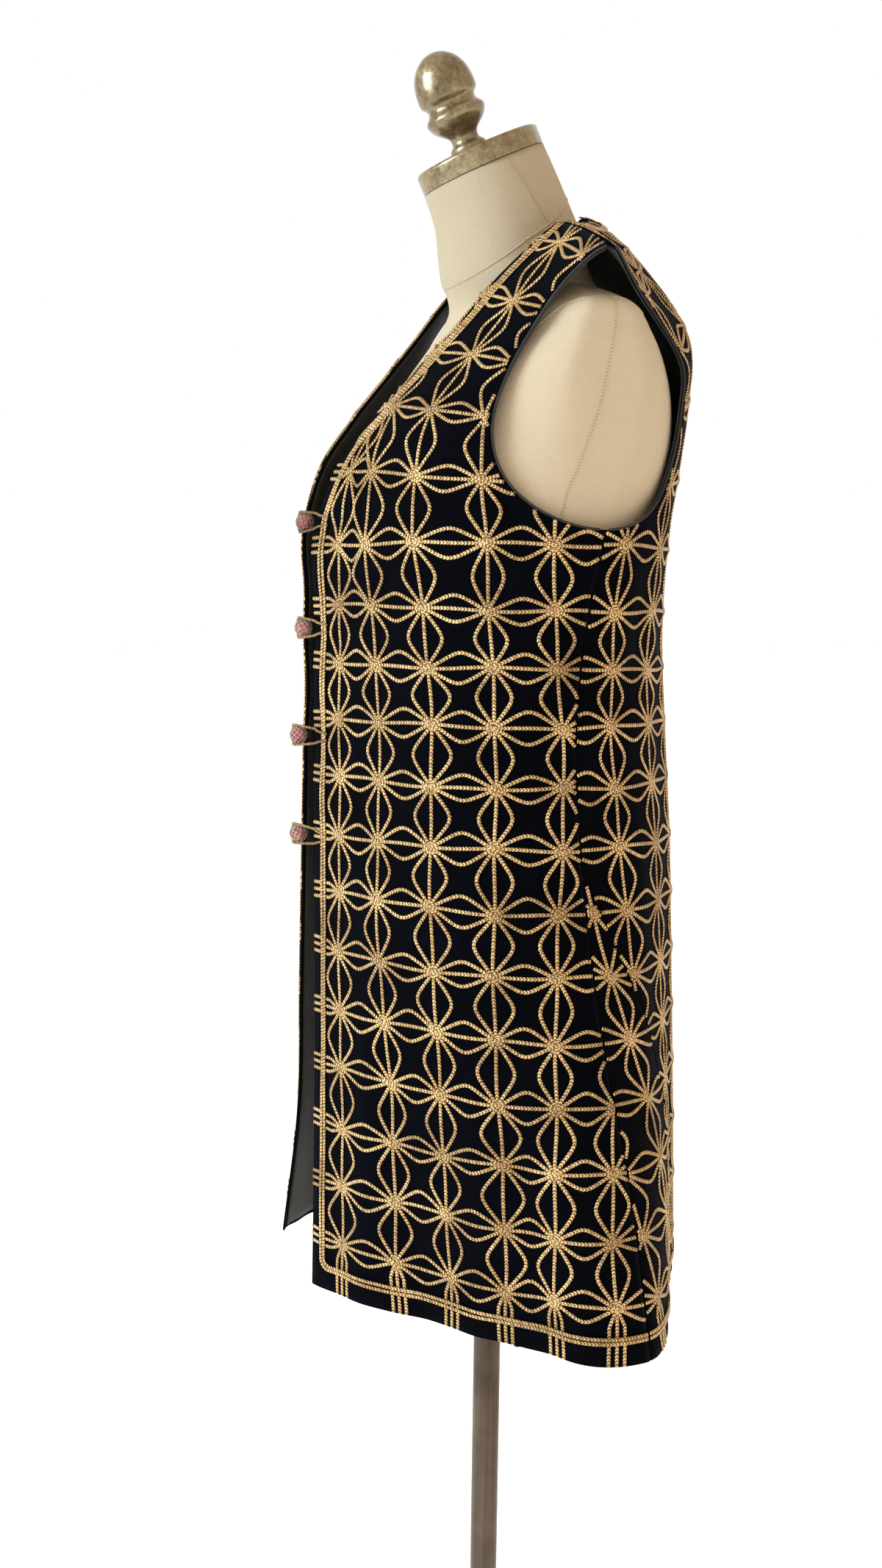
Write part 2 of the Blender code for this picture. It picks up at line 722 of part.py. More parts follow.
def build_cap(home, cap_finish):
    seat, turn = neck_seat()
    rim = 0.0035
    profile = [(0.0, CAP_THICKNESS)]
    for k in range(4):
        angle = 0.5 * math.pi * (1 - k / 3)
        profile.append((CAP_RADIUS - rim + rim * math.cos(angle), CAP_THICKNESS - rim + rim * math.sin(angle)))
    profile += [(CAP_RADIUS, 0.0015), (CAP_RADIUS - 0.0015, 0.0), (0.0, 0.0)]
    cap = turned("neck_cap", profile, 32, home, cap_finish)
    cap.matrix_world = Matrix.Translation(seat) @ turn @ Matrix.Translation((0, 0, CAP_GAP))
    profile = [(0.0, FINIAL[-1][1] + 0.001), *reversed(FINIAL), (0.0, 0.0)]
    finial = turned("finial", profile, 18, home, cap_finish)
    finial.matrix_world = (
        Matrix.Translation(seat) @ turn @ Matrix.Translation((0, -FINIAL_FORWARD, 2 * CAP_GAP + CAP_THICKNESS))
    )


def build_stand(home, steel, iron):
    profile = [
        (TUBE_RADIUS, TUBE_TOP - 0.001),
        (TUBE_RADIUS, HUB_HEIGHT - 0.03),
        (TUBE_BORE, HUB_HEIGHT - 0.03),
        (TUBE_BORE, TUBE_TOP),
        (TUBE_RADIUS - 0.001, TUBE_TOP),
        (TUBE_RADIUS, TUBE_TOP - 0.001),
    ]
    turned("stand_tube", profile, 32, home, steel)
    top = FORM[0][0] + INNER_POLE_DEPTH_IN_FORM
    profile = [
        (0.0, top),
        (INNER_POLE_RADIUS, top),
        (INNER_POLE_RADIUS, INNER_POLE_BOTTOM),
        (0.0, INNER_POLE_BOTTOM),
    ]
    turned("inner_pole", profile, 32, home, steel)
    inner = TUBE_RADIUS + 0.0003
    seat = HUB_HEIGHT - 0.0303
    profile = [
        (inner, HUB_HEIGHT),
        (HUB_RADIUS - 0.004, HUB_HEIGHT),
        (HUB_RADIUS, HUB_HEIGHT - 0.004),
        (HUB_RADIUS, BASE_HEIGHT + 0.004),
        (HUB_RADIUS + 0.004, BASE_HEIGHT),
        (BASE_RADIUS - 0.012, BASE_HEIGHT - 0.006),
        (BASE_RADIUS - 0.003, BASE_HEIGHT - 0.010),
        (BASE_RADIUS, BASE_HEIGHT - 0.014),
        (BASE_RADIUS, 0.0),
        (0.0, 0.0),
        (0.0, seat),
        (inner, seat),
        (inner, HUB_HEIGHT),
    ]
    turned("base", profile, 36, home, iron)


def screw_frame():
    """The clamp screw's frame: its Z axis points out from the pole."""
    turn = Matrix.Rotation(math.radians(SCREW_DIRECTION), 4, "Z") @ Matrix.Rotation(math.radians(90), 4, "Y")
    return Matrix.Translation((0.0, 0.0, NUT_HEIGHT)) @ turn


def build_clamp(home, steel):
    frame = screw_frame()
    start = TUBE_RADIUS + 0.0003
    hole = SCREW_RADIUS + 0.0003
    nut_radius = NUT_ACROSS / math.sqrt(3)
    mesh = bpy.data.meshes.new("clamp_nut")
    work = bmesh.new()
    rings = []
    for radius, height in ((nut_radius, start), (nut_radius, start + NUT_LENGTH)):
        rings.append(
            [
                work.verts.new((radius * math.cos(math.pi * k / 3), radius * math.sin(math.pi * k / 3), height))
                for k in range(6)
            ]
        )
    work.faces.new(list(reversed(rings[0])))
    work.faces.new(rings[1])
    for k in range(6):
        n = (k + 1) % 6
        work.faces.new([rings[0][k], rings[0][n], rings[1][n], rings[1][k]])
    work.to_mesh(mesh)
    work.free()
    nut = add_object("clamp_nut", mesh, home, steel)
    nut.matrix_world = frame
    return frame, start, hole, nut


def build_clamp_screw(home, cutters, steel):
    """The nut on the tube's side and the screw through it, with a cross bar and two balls."""
    frame, start, hole, nut = build_clamp(home, steel)
    bpy.ops.mesh.primitive_cylinder_add(vertices=16, radius=hole, depth=4 * NUT_LENGTH)
    bore = take_primitive("nut_cutter", cutters, steel)
    bore.matrix_world = frame @ Matrix.Translation((0.0, 0.0, start))
    bore.hide_render = True
    bore.display_type = "WIRE"
    cut = nut.modifiers.new("bore", "BOOLEAN")
    cut.operation = "DIFFERENCE"
    cut.object = bore
    bpy.ops.mesh.primitive_cylinder_add(vertices=16, radius=SCREW_RADIUS, depth=SCREW_LENGTH)
    screw = take_primitive("clamp_screw", home, steel)
    screw.matrix_world = frame @ Matrix.Translation((0.0, 0.0, start + 0.0003 + SCREW_LENGTH / 2))
    bar_place = frame @ Matrix.Translation((0.0, 0.0, start + SCREW_LENGTH - 0.0040))
    bar_turn = Matrix.Rotation(math.radians(BAR_TURN), 4, "Z") @ Matrix.Rotation(math.radians(90), 4, "X")
    bpy.ops.mesh.primitive_cylinder_add(vertices=12, radius=BAR_RADIUS, depth=2 * BAR_HALF_LENGTH)
    bar = take_primitive("bar_part", cutters, steel)
    bar.matrix_world = bar_place @ bar_turn
    parts = [bar]
    for end in (-1, 1):
        bpy.ops.mesh.primitive_uv_sphere_add(segments=10, ring_count=7, radius=BALL_RADIUS)
        ball = take_primitive(f"ball_part_{end}", cutters, steel)
        ball.matrix_world = bar_place @ bar_turn @ Matrix.Translation((0.0, 0.0, end * BAR_HALF_LENGTH))
        parts.append(ball)
    for part in parts:
        part.hide_render = True
        part.display_type = "WIRE"
        join = screw.modifiers.new(part.name, "BOOLEAN")
        join.operation = "UNION"
        join.object = part
    smooth_shade(screw)


def main():
    clear_scene()
    home = collection("folk_vest_on_dress_form")
    cutters = collection("cutters")
    velvet = material("velvet", (0.004, 0.005, 0.011), 0.95)
    lining = material("lining", (0.045, 0.046, 0.050), 0.85)
    gold = material("gold_braid", (0.52, 0.33, 0.13), 0.45, 0.35)
    red = material("button_ball", (0.55, 0.12, 0.20), 0.6)
    linen = material("linen", (0.78, 0.66, 0.48), 0.9)
    bronze = material("antiqued_bronze", (0.35, 0.27, 0.16), 0.35, 0.6)
    steel = material("bronze_steel", (0.12, 0.085, 0.065), 0.35, 0.8)
    iron = material("base_iron", (0.06, 0.05, 0.045), 0.5, 0.6)
    build_velvet(home, velvet)
    build_lining(home, lining)
    build_edge_braids(home, gold)
    build_neck_braid(home, gold)
    build_fastenings(home, red, gold)
    build_form(home, cutters, linen)
    build_cap(home, bronze)
    build_stand(home, steel, iron)
    build_clamp_screw(home, cutters, steel)


main()
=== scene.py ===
# %% [markdown]
# # A braided velvet vest on its dress form
# The real object is a sleeveless folk vest, long and slightly flared, that hangs open on a padded form
# with no head or arms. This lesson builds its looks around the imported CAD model, which is already the
# right size and already moves. Every part made here stands where a CAD part stood.

import math

import bpy
import numpy as np
from mathutils import Matrix, Vector


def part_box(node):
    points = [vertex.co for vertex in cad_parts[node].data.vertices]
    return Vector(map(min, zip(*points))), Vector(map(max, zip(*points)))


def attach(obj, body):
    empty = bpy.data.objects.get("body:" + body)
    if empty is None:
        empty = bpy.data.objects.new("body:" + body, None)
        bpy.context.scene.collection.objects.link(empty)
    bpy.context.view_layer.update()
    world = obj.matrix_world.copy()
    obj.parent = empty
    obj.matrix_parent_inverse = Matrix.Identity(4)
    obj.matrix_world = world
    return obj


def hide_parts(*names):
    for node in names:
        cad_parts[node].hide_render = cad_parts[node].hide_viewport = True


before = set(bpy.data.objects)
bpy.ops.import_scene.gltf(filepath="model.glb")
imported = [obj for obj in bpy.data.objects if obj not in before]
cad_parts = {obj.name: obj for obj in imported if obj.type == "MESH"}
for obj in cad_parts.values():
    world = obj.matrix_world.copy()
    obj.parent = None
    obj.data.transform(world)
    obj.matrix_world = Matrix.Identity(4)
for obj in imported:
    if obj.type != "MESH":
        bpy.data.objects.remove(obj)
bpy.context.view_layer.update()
LEFT = 1
RIGHT = -1

# %% [markdown]
# ## The camera
# The vest was looked at from its left side, a little above the waist. A camera is just an object with
# a matrix, so its three axes are written down directly: right, up, and back towards the viewer. Then it
# is rolled by less than a degree, because the real camera was not quite level.

# %% Camera
CAMERA_AZIMUTH = 68.0
CAMERA_DISTANCE = 1.42
CAMERA_HEIGHT = 1.09
CAMERA_PITCH = 6.19
CAMERA_YAW = 1.90
CAMERA_ROLL = 0.74


def add_camera():
    lens = bpy.data.cameras.new("camera")
    lens.sensor_fit = "VERTICAL"
    lens.sensor_height = 36.0
    lens.sensor_width = 36.0
    lens.lens = 38.35
    lens.clip_end = 100.0
    camera = bpy.data.objects.new("camera", lens)
    bpy.context.scene.collection.objects.link(camera)
    azimuth = math.radians(CAMERA_AZIMUTH)
    place = Vector((math.sin(azimuth), -math.cos(azimuth), 0.0)) * CAMERA_DISTANCE
    place.z = CAMERA_HEIGHT
    turn = Matrix.Rotation(azimuth + math.radians(CAMERA_YAW), 4, "Z")
    tilt = Matrix.Rotation(math.radians(90.0 - CAMERA_PITCH), 4, "X")
    roll = Matrix.Rotation(math.radians(CAMERA_ROLL), 4, "Z")
    camera.matrix_world = Matrix.Translation(place) @ turn @ tilt @ roll
    bpy.context.scene.camera = camera
    return camera


camera = add_camera()
print("camera at", tuple(round(v, 3) for v in camera.matrix_world.translation))

# %% [markdown]
# ## The floor and the light
# A plain studio: a very large white floor, a dim warm room with one bright wall behind the vest, a large
# cool lamp in front of it like a window, and a weaker warm one beside it. Velvet eats light, so it needs a
# broad lamp to show its folds, while gold braid needs something bright to reflect.

# %% Floor, sky and lamps
FLOOR_GLOW = 0.46
WALL_DIRECTION = (-0.927, 0.375, 0.0)
ROOM_COLOUR = (0.82, 0.70, 0.56)
view = bpy.context.scene.view_settings
view.view_transform = "Standard"
view.look = "None"


def add_floor():
    bpy.ops.mesh.primitive_plane_add(size=60.0, location=(0.0, 0.0, -0.0005))
    floor = bpy.context.object
    floor.name = "floor"
    paint = bpy.data.materials.new("floor_paint")
    paint.use_nodes = True
    shader = paint.node_tree.nodes["Principled BSDF"]
    shader.inputs["Base Color"].default_value = (0.90, 0.90, 0.89, 1.0)
    shader.inputs["Roughness"].default_value = 0.9
    shader.inputs["Specular IOR Level"].default_value = 0.1
    shader.inputs["Emission Color"].default_value = (1.0, 1.0, 1.0, 1.0)
    shader.inputs["Emission Strength"].default_value = FLOOR_GLOW
    floor.data.materials.append(paint)


def add_sky():
    """A dim warm room with one bright white wall, on the far side of the vest."""
    world = bpy.data.worlds.new("studio")
    bpy.context.scene.world = world
    world.use_nodes = True
    tree = world.node_tree
    direction = tree.nodes.new("ShaderNodeTexCoord").outputs["Generated"]
    towards = tree.nodes.new("ShaderNodeVectorMath")
    towards.operation = "DOT_PRODUCT"
    tree.links.new(direction, towards.inputs[0])
    towards.inputs[1].default_value = WALL_DIRECTION
    band = tree.nodes.new("ShaderNodeValToRGB")
    tree.links.new(towards.outputs["Value"], band.inputs[0])
    band.color_ramp.elements[0].position = 0.58
    band.color_ramp.elements[0].color = (*ROOM_COLOUR, 1.0)
    band.color_ramp.elements[1].position = 0.72
    band.color_ramp.elements[1].color = (1.0, 1.0, 1.0, 1.0)
    tree.links.new(band.outputs[0], tree.nodes["Background"].inputs["Color"])


def add_lamp(name, place, size, power, colour):
    light = bpy.data.lights.new(name, "AREA")
    light.shape = "RECTANGLE"
    light.size, light.size_y = size
    light.energy = power
    light.color = colour
    lamp = bpy.data.objects.new(name, light)
    bpy.context.scene.collection.objects.link(lamp)
    aim = Vector((0.0, 0.0, 1.05)) - Vector(place)
    lamp.matrix_world = Matrix.Translation(place) @ aim.to_track_quat("-Z", "Y").to_matrix().to_4x4()


bpy.ops.object.select_all(action="DESELECT")
add_floor()
add_sky()
add_lamp("lamp_front", (0.10, -2.8, 1.9), (1.6, 1.8), 92.0, (0.66, 0.88, 1.0))
add_lamp("lamp_side", (3.0, 0.2, 1.9), (1.4, 2.0), 2.0, (1.0, 0.87, 0.72))

# %% [markdown]
# ## Small helpers for materials
# A procedural material is a few nodes wired together. These helpers keep each recipe short: one adds a
# node and sets its inputs, one joins two sockets, one makes a colour ramp and one makes the bump.

# %% Node helpers


def new_finish(name, roughness, metallic=0.0, specular=0.5):
    made = bpy.data.materials.new(name)
    made.use_nodes = True
    shader = made.node_tree.nodes["Principled BSDF"]
    shader.inputs["Roughness"].default_value = roughness
    shader.inputs["Metallic"].default_value = metallic
    shader.inputs["Specular IOR Level"].default_value = specular
    return made, made.node_tree, shader


def add_node(tree, kind, settings=None, **inputs):
    node = tree.nodes.new("ShaderNode" + kind)
    for key, value in (settings or {}).items():
        setattr(node, key, value)
    for key, value in inputs.items():
        target = node.inputs[int(key[1:])] if key[0] == "_" else node.inputs[key.replace("_", " ")]
        if isinstance(value, bpy.types.NodeSocket):
            tree.links.new(value, target)
        else:
            target.default_value = value
    return node.outputs


def ramp(tree, factor, *stops):
    """A colour ramp. Each stop is (place, colour or grey)."""
    node = tree.nodes.new("ShaderNodeValToRGB")
    tree.links.new(factor, node.inputs[0])
    band = node.color_ramp
    for _ in range(len(stops) - 2):
        band.elements.new(0.5)
    for element, (place, colour) in zip(band.elements, stops):
        element.position = place
        element.color = (*colour, 1.0) if isinstance(colour, tuple) else (colour, colour, colour, 1.0)
    return node.outputs[0]


def maths(tree, operation, a, b=0.0, c=0.0):
    return add_node(tree, "Math", {"operation": operation}, _0=a, _1=b, _2=c)[0]


def noise(tree, vector, scale, detail=3.0, roughness=0.5):
    return add_node(tree, "TexNoise", None, Vector=vector, Scale=scale, Detail=detail, Roughness=roughness)[0]


def bump(tree, shader, height, distance, strength=1.0):
    out = add_node(tree, "Bump", None, Height=height, Distance=distance, Strength=strength)
    tree.links.new(out[0], shader.inputs["Normal"])


def place_of(tree, kind="Object"):
    return tree.nodes.new("ShaderNodeTexCoord").outputs[kind]


def blend_colours(tree, factor, a, b, kind="MIX"):
    node = tree.nodes.new("ShaderNodeMix")
    node.data_type = "RGBA"
    node.blend_type = kind
    for socket, value in ((node.inputs[0], factor), (node.inputs[6], a), (node.inputs[7], b)):
        if isinstance(value, bpy.types.NodeSocket):
            tree.links.new(value, socket)
        else:
            socket.default_value = value if isinstance(value, float) else (*value, 1.0)
    return node.outputs[2]


# %% [markdown]
# ## Velvet and lining
# Velvet is a forest of short upright threads. It is almost black when looked at straight on, and it
# catches light only at grazing angles, which is what the sheen layer is for. The pile never lies quite
# evenly, so a slow noise changes its colour and roughness, and a very fine one breaks up the surface.
# The lining is a twill: a thin cloth with fine slanting ribs, drawn on the piece's own UV map, which
# holds metres along and up the cloth.

# %% Velvet and lining


def velvet_finish():
    made, tree, shader = new_finish("navy_black_velvet", 0.80, specular=0.025)
    where = place_of(tree)
    patches = noise(tree, where, 9.0, 4.0, 0.6)
    pile = noise(tree, where, 1400.0, 2.0)
    lay = noise(tree, where, 60.0, 3.0, 0.7)
    mixed = maths(tree, "MULTIPLY_ADD", lay, 0.35, maths(tree, "MULTIPLY", patches, 0.65))
    colour = ramp(tree, mixed, (0.34, (0.0007, 0.0008, 0.0018)), (0.52, (0.0012, 0.0014, 0.0030)),
                  (0.70, (0.0024, 0.0028, 0.0056)))
    tree.links.new(colour, shader.inputs["Base Color"])
    tree.links.new(ramp(tree, patches, (0.3, 0.70), (0.7, 0.92)), shader.inputs["Roughness"])
    shader.inputs["Sheen Weight"].default_value = 0.042
    shader.inputs["Sheen Roughness"].default_value = 0.32
    shader.inputs["Sheen Tint"].default_value = (0.62, 0.68, 0.95, 1.0)
    bump(tree, shader, maths(tree, "ADD", pile, maths(tree, "MULTIPLY", lay, 0.6)), 0.0005)
    return made


def lining_finish():
    made, tree, shader = new_finish("charcoal_twill", 0.72, specular=0.25)
    across = add_node(tree, "SeparateXYZ", None, Vector=place_of(tree, "UV"))
    slant = maths(tree, "ADD", across[0], across[1])
    ribs = maths(tree, "SINE", maths(tree, "MULTIPLY", slant, 5200.0))
    threads = maths(tree, "SINE", maths(tree, "MULTIPLY", across[1], 9000.0))
    weave = maths(tree, "MULTIPLY_ADD", threads, 0.3, ribs)
    cloud = noise(tree, place_of(tree), 14.0, 4.0, 0.6)
    base = ramp(tree, cloud, (0.3, (0.038, 0.038, 0.038)), (0.7, (0.068, 0.068, 0.066)))
    shade = ramp(tree, maths(tree, "MULTIPLY_ADD", weave, 0.4, 0.5), (0.0, 0.72), (1.0, 1.0))
    tree.links.new(blend_colours(tree, 1.0, base, shade, "MULTIPLY"), shader.inputs["Base Color"])
    shader.inputs["Sheen Weight"].default_value = 0.08
    bump(tree, shader, weave, 0.00012)
    return made


velvet = velvet_finish()
lining_cloth = lining_finish()

# %% [markdown]
# ## Plaited metal braid
# Each cord is a flat plait of metal thread. Its UV map holds the distance along the cord in metres and
# the place across it from -1 to 1. A herringbone is then one sine wave: the distance along plus the
# absolute distance across. Its valleys are painted dark as shade and its ridges painted bright as
# highlights, some threads are tarnished, and every few millimetres a couching stitch crosses the cord.

# %% Braid


def braid_finish(name, bright, middle, valley_shade_and_stitch, pitch, metallic):
    made, tree, shader = new_finish(name, 0.42, metallic, 0.5)
    uv = add_node(tree, "SeparateXYZ", None, Vector=place_of(tree, "UV"))
    side = maths(tree, "ABSOLUTE", uv[1])
    turn = 2.0 * math.pi / pitch
    wave = maths(tree, "MULTIPLY_ADD", side, 3.6, maths(tree, "MULTIPLY", uv[0], turn))
    herringbone = maths(tree, "SINE", wave)
    stitch = maths(tree, "SINE", maths(tree, "MULTIPLY", uv[0], turn * 0.37))
    tied = ramp(tree, stitch, (0.90, 0.0), (0.985, 1.0))
    where = place_of(tree)
    flecks = noise(tree, where, 520.0, 3.0, 0.75)
    worn = noise(tree, where, 26.0, 4.0, 0.6)
    ridge = maths(tree, "MULTIPLY_ADD", herringbone, 0.5, 0.5)
    # Painted shade and highlight: the herringbone's valleys get the dark colour and its ridges the bright
    # one; the flecks are the thread's own tone.
    level = maths(tree, "ADD", maths(tree, "MULTIPLY", ridge, 0.50), maths(tree, "MULTIPLY", flecks, 0.62))
    gold = ramp(tree, level, (0.26, valley_shade_and_stitch), (0.50, middle), (0.80, bright))
    tarnish = ramp(tree, worn, (0.32, (0.55, 0.50, 0.45)), (0.62, (1.0, 1.0, 1.0)))
    gold = blend_colours(tree, 1.0, gold, tarnish, "MULTIPLY")
    gold = blend_colours(tree, maths(tree, "MULTIPLY", tied, 0.55), gold, valley_shade_and_stitch)
    tree.links.new(gold, shader.inputs["Base Color"])
    tree.links.new(ramp(tree, flecks, (0.3, 0.34), (0.7, 0.56)), shader.inputs["Roughness"])
    height = maths(tree, "SUBTRACT", maths(tree, "MULTIPLY_ADD", flecks, 0.5, ridge), tied)
    bump(tree, shader, height, 0.00035)
    return made


gold_braid = braid_finish(
    "gold_braid", (1.0, 0.72, 0.36), (0.52, 0.30, 0.115), (0.055, 0.026, 0.009), 0.0027, 0.50
)
brown_gold_cord = braid_finish(
    "brown_gold_cord", (0.55, 0.34, 0.15), (0.26, 0.145, 0.065), (0.045, 0.024, 0.012), 0.0022, 0.35
)
silver_gold_thread = braid_finish(
    "silver_gold_thread", (0.86, 0.78, 0.62), (0.55, 0.45, 0.30), (0.13, 0.09, 0.05), 0.0011, 0.6
)
print("cloth and braid finishes ready")

# %% [markdown]
# ## Linen, bronze, steel and iron
# The form's cover is a plain linen weave: two crossed sets of ribs with slubs in them. The cap and its
# finial are antiqued bronze, olive where it is dull and yellow where it was rubbed. The pole is dark
# bronze-coloured steel, polished along its length by sliding, and the base is enamelled iron.

# %% Linen


def linen_finish():
    made, tree, shader = new_finish("cream_linen", 0.88, specular=0.2)
    uv = add_node(tree, "SeparateXYZ", None, Vector=place_of(tree, "UV"))
    where = place_of(tree)
    slub = noise(tree, where, 55.0, 4.0, 0.7)
    warp = maths(tree, "SINE", maths(tree, "MULTIPLY_ADD", slub, 4.0, maths(tree, "MULTIPLY", uv[0], 7400.0)))
    weft = maths(tree, "SINE", maths(tree, "MULTIPLY_ADD", slub, 5.0, maths(tree, "MULTIPLY", uv[1], 7000.0)))
    weave = maths(tree, "MULTIPLY", warp, weft)
    cloud = noise(tree, where, 7.0, 4.0, 0.55)
    fine = noise(tree, where, 420.0, 2.0)
    base = ramp(tree, cloud, (0.28, (0.780, 0.635, 0.455)), (0.72, (0.835, 0.700, 0.520)))
    thread = maths(tree, "MULTIPLY_ADD", weave, 0.30, maths(tree, "MULTIPLY_ADD", fine, 0.5, 0.25))
    shade = ramp(tree, thread, (0.1, (0.86, 0.82, 0.76)), (0.6, (1.0, 1.0, 1.0)))
    tree.links.new(blend_colours(tree, 1.0, base, shade, "MULTIPLY"), shader.inputs["Base Color"])
    bump(tree, shader, maths(tree, "MULTIPLY_ADD", fine, 0.8, weave), 0.00022)
    return made


def seam_finish():
    made, tree, shader = new_finish("linen_seam_thread", 0.9, specular=0.1)
    uv = add_node(tree, "SeparateXYZ", None, Vector=place_of(tree, "UV"))
    stitches = maths(tree, "SINE", maths(tree, "MULTIPLY", uv[0], 2400.0))
    colour = ramp(tree, maths(tree, "MULTIPLY_ADD", stitches, 0.5, 0.5), (0.2, (0.42, 0.31, 0.19)),
                  (0.7, (0.66, 0.53, 0.36)))
    tree.links.new(colour, shader.inputs["Base Color"])
    bump(tree, shader, stitches, 0.0002)
    return made


linen = linen_finish()
seam_thread = seam_finish()

# %% Metals


def bronze_finish():
    made, tree, shader = new_finish("antiqued_bronze", 0.30, 0.75)
    where = place_of(tree)
    large = noise(tree, where, 38.0, 5.0, 0.65)
    small = noise(tree, where, 240.0, 4.0, 0.7)
    mottle = maths(tree, "MULTIPLY_ADD", small, 0.45, maths(tree, "MULTIPLY", large, 0.55))
    colour = ramp(tree, mottle, (0.30, (0.070, 0.048, 0.026)), (0.45, (0.200, 0.148, 0.082)),
                  (0.58, (0.330, 0.270, 0.155)), (0.75, (0.500, 0.440, 0.290)))
    tree.links.new(colour, shader.inputs["Base Color"])
    tree.links.new(ramp(tree, small, (0.3, 0.20), (0.75, 0.46)), shader.inputs["Roughness"])
    shader.inputs["Coat Weight"].default_value = 0.45
    shader.inputs["Coat Roughness"].default_value = 0.12
    bump(tree, shader, mottle, 0.0006, 0.6)
    return made


def steel_finish():
    made, tree, shader = new_finish("bronze_brown_steel", 0.30, 0.85)
    where = place_of(tree)
    stretched = add_node(tree, "Mapping", None, Vector=where, Scale=(260.0, 260.0, 5.0))[0]
    drawn = noise(tree, stretched, 1.0, 3.0)
    cloud = noise(tree, where, 16.0, 4.0, 0.6)
    mixed = maths(tree, "MULTIPLY_ADD", drawn, 0.45, maths(tree, "MULTIPLY", cloud, 0.55))
    colour = ramp(tree, mixed, (0.32, (0.052, 0.036, 0.027)), (0.55, (0.125, 0.092, 0.070)),
                  (0.75, (0.235, 0.185, 0.145)))
    tree.links.new(colour, shader.inputs["Base Color"])
    tree.links.new(ramp(tree, drawn, (0.3, 0.22), (0.7, 0.40)), shader.inputs["Roughness"])
    bump(tree, shader, drawn, 0.0001, 0.5)
    return made


def iron_finish():
    made, tree, shader = new_finish("enamelled_iron", 0.42, 0.25)
    where = place_of(tree)
    peel = noise(tree, where, 190.0, 2.0)
    wear = noise(tree, where, 11.0, 6.0, 0.7)
    colour = ramp(tree, wear, (0.35, (0.030, 0.023, 0.018)), (0.62, (0.062, 0.050, 0.041)),
                  (0.80, (0.120, 0.100, 0.082)))
    tree.links.new(colour, shader.inputs["Base Color"])
    tree.links.new(ramp(tree, wear, (0.3, 0.34), (0.7, 0.55)), shader.inputs["Roughness"])
    bump(tree, shader, peel, 0.0003, 0.5)
    return made


bronze = bronze_finish()
steel = steel_finish()
iron = iron_finish()
print("metal finishes ready")

# %% [markdown]
# ## The cloth's own map
# The vest is a surface with its own two directions. One runs around the body: 0 at the left front edge,
# 1 at the left side, 2 at centre back, 3 at the right side and 4 at the right front edge. The other is
# the level, the height on the cloth above the hem in metres. The tables say how the worn cloth stands,
# row by row, and they are the same ones that the CAD solids were made from.

# %% The vest's cut and how it stands
UNDERARM = 0.61
NECK_POINT = 0.615
SHOULDER = 0.92
BACK_NECK = 0.868
NECK_HALF_WIDTH = 0.070
ARMHOLE_FRONT = 0.37
ARMHOLE_BACK = 0.37
SHOULDER_SPLAY = 0.016
FRONT_LEAN = 0.30
NECK_LEAN_END = 0.720
GORE_TOP = 0.356
GORE_WIDTH = 0.150
VELVET_THICKNESS = 0.0015
LINING_THICKNESS = 0.0010
LINING_DEPTH = 0.0024
LINING_INSET = 0.004
BRAID_FROM_EDGE = 0.0105
BRAID_FROM_HEM = 0.0150
BRAID_PITCH = 0.0035

# level; the front edge's height and depth; the side's height, width and depth; centre back's height and
# depth; how square the row is near the front edge, the side and centre back.
BODY = (
    (0.000, 0.520, -0.164, 0.508, 0.205, 0.052, 0.526, 0.160, 0.25, 0.30, 0.36),
    (0.120, 0.644, -0.162, 0.636, 0.194, 0.038, 0.647, 0.154, 0.40, 0.42, 0.40),
    (0.240, 0.767, -0.162, 0.762, 0.181, 0.017, 0.768, 0.148, 0.48, 0.50, 0.46),
    (0.350, 0.881, -0.163, 0.879, 0.171, 0.004, 0.879, 0.140, 0.50, 0.55, 0.52),
    (0.450, 0.984, -0.163, 0.984, 0.167, -0.003, 0.984, 0.131, 0.50, 0.55, 0.55),
    (0.550, 1.086, -0.164, 1.084, 0.168, 0.005, 1.084, 0.125, 0.50, 0.55, 0.55),
    (0.610, 1.148, -0.165, 1.146, 0.170, 0.016, 1.150, 0.127, 0.50, 0.55, 0.55),
    (0.660, 1.200, -0.149, 1.182, 0.170, 0.017, 1.210, 0.136, 0.55, 0.55, 0.55),
    (0.710, 1.241, -0.119, 1.215, 0.170, 0.018, 1.270, 0.143, 0.55, 0.55, 0.55),
    (0.760, 1.278, -0.089, 1.248, 0.170, 0.019, 1.326, 0.143, 0.55, 0.55, 0.52),
    (0.810, 1.315, -0.060, 1.281, 0.170, 0.019, 1.374, 0.114, 0.52, 0.52, 0.34),
    (0.860, 1.352, -0.031, 1.315, 0.170, 0.018, 1.410, 0.076, 0.50, 0.50, 0.14),
    (0.920, 1.400, 0.0165, 1.354, 0.170, 0.0165, 1.400, 0.0165, 0.50, 0.50, 0.50),
)

# level; how far the left edge is from the middle, and the right one; how much further forward the right
# edge is; how much wider the right side stands.
OPENING = (
    (0.000, 0.012, 0.112, -0.007, 0.030),
    (0.120, 0.009, 0.078, -0.009, 0.022),
    (0.240, 0.010, 0.044, -0.002, 0.012),
    (0.350, 0.011, 0.020, 0.002, 0.004),
    (0.450, 0.011, 0.012, 0.003, 0.000),
    (0.550, 0.012, 0.010, 0.003, 0.000),
    (0.610, 0.012, 0.010, 0.003, 0.000),
    (0.920, 0.000, 0.000, 0.000, 0.000),
)

# The largest folds: middle round the body, half width, how far it stands out at the hem, where it ends.
FOLDS = (
    (0.42, 0.12, -0.004, 0.30),
    (0.86, 0.14, 0.016, 0.34),
    (1.42, 0.20, -0.010, 0.40),
    (2.26, 0.18, 0.024, 0.34),
    (2.62, 0.18, -0.012, 0.40),
    (3.14, 0.14, 0.016, 0.34),
)
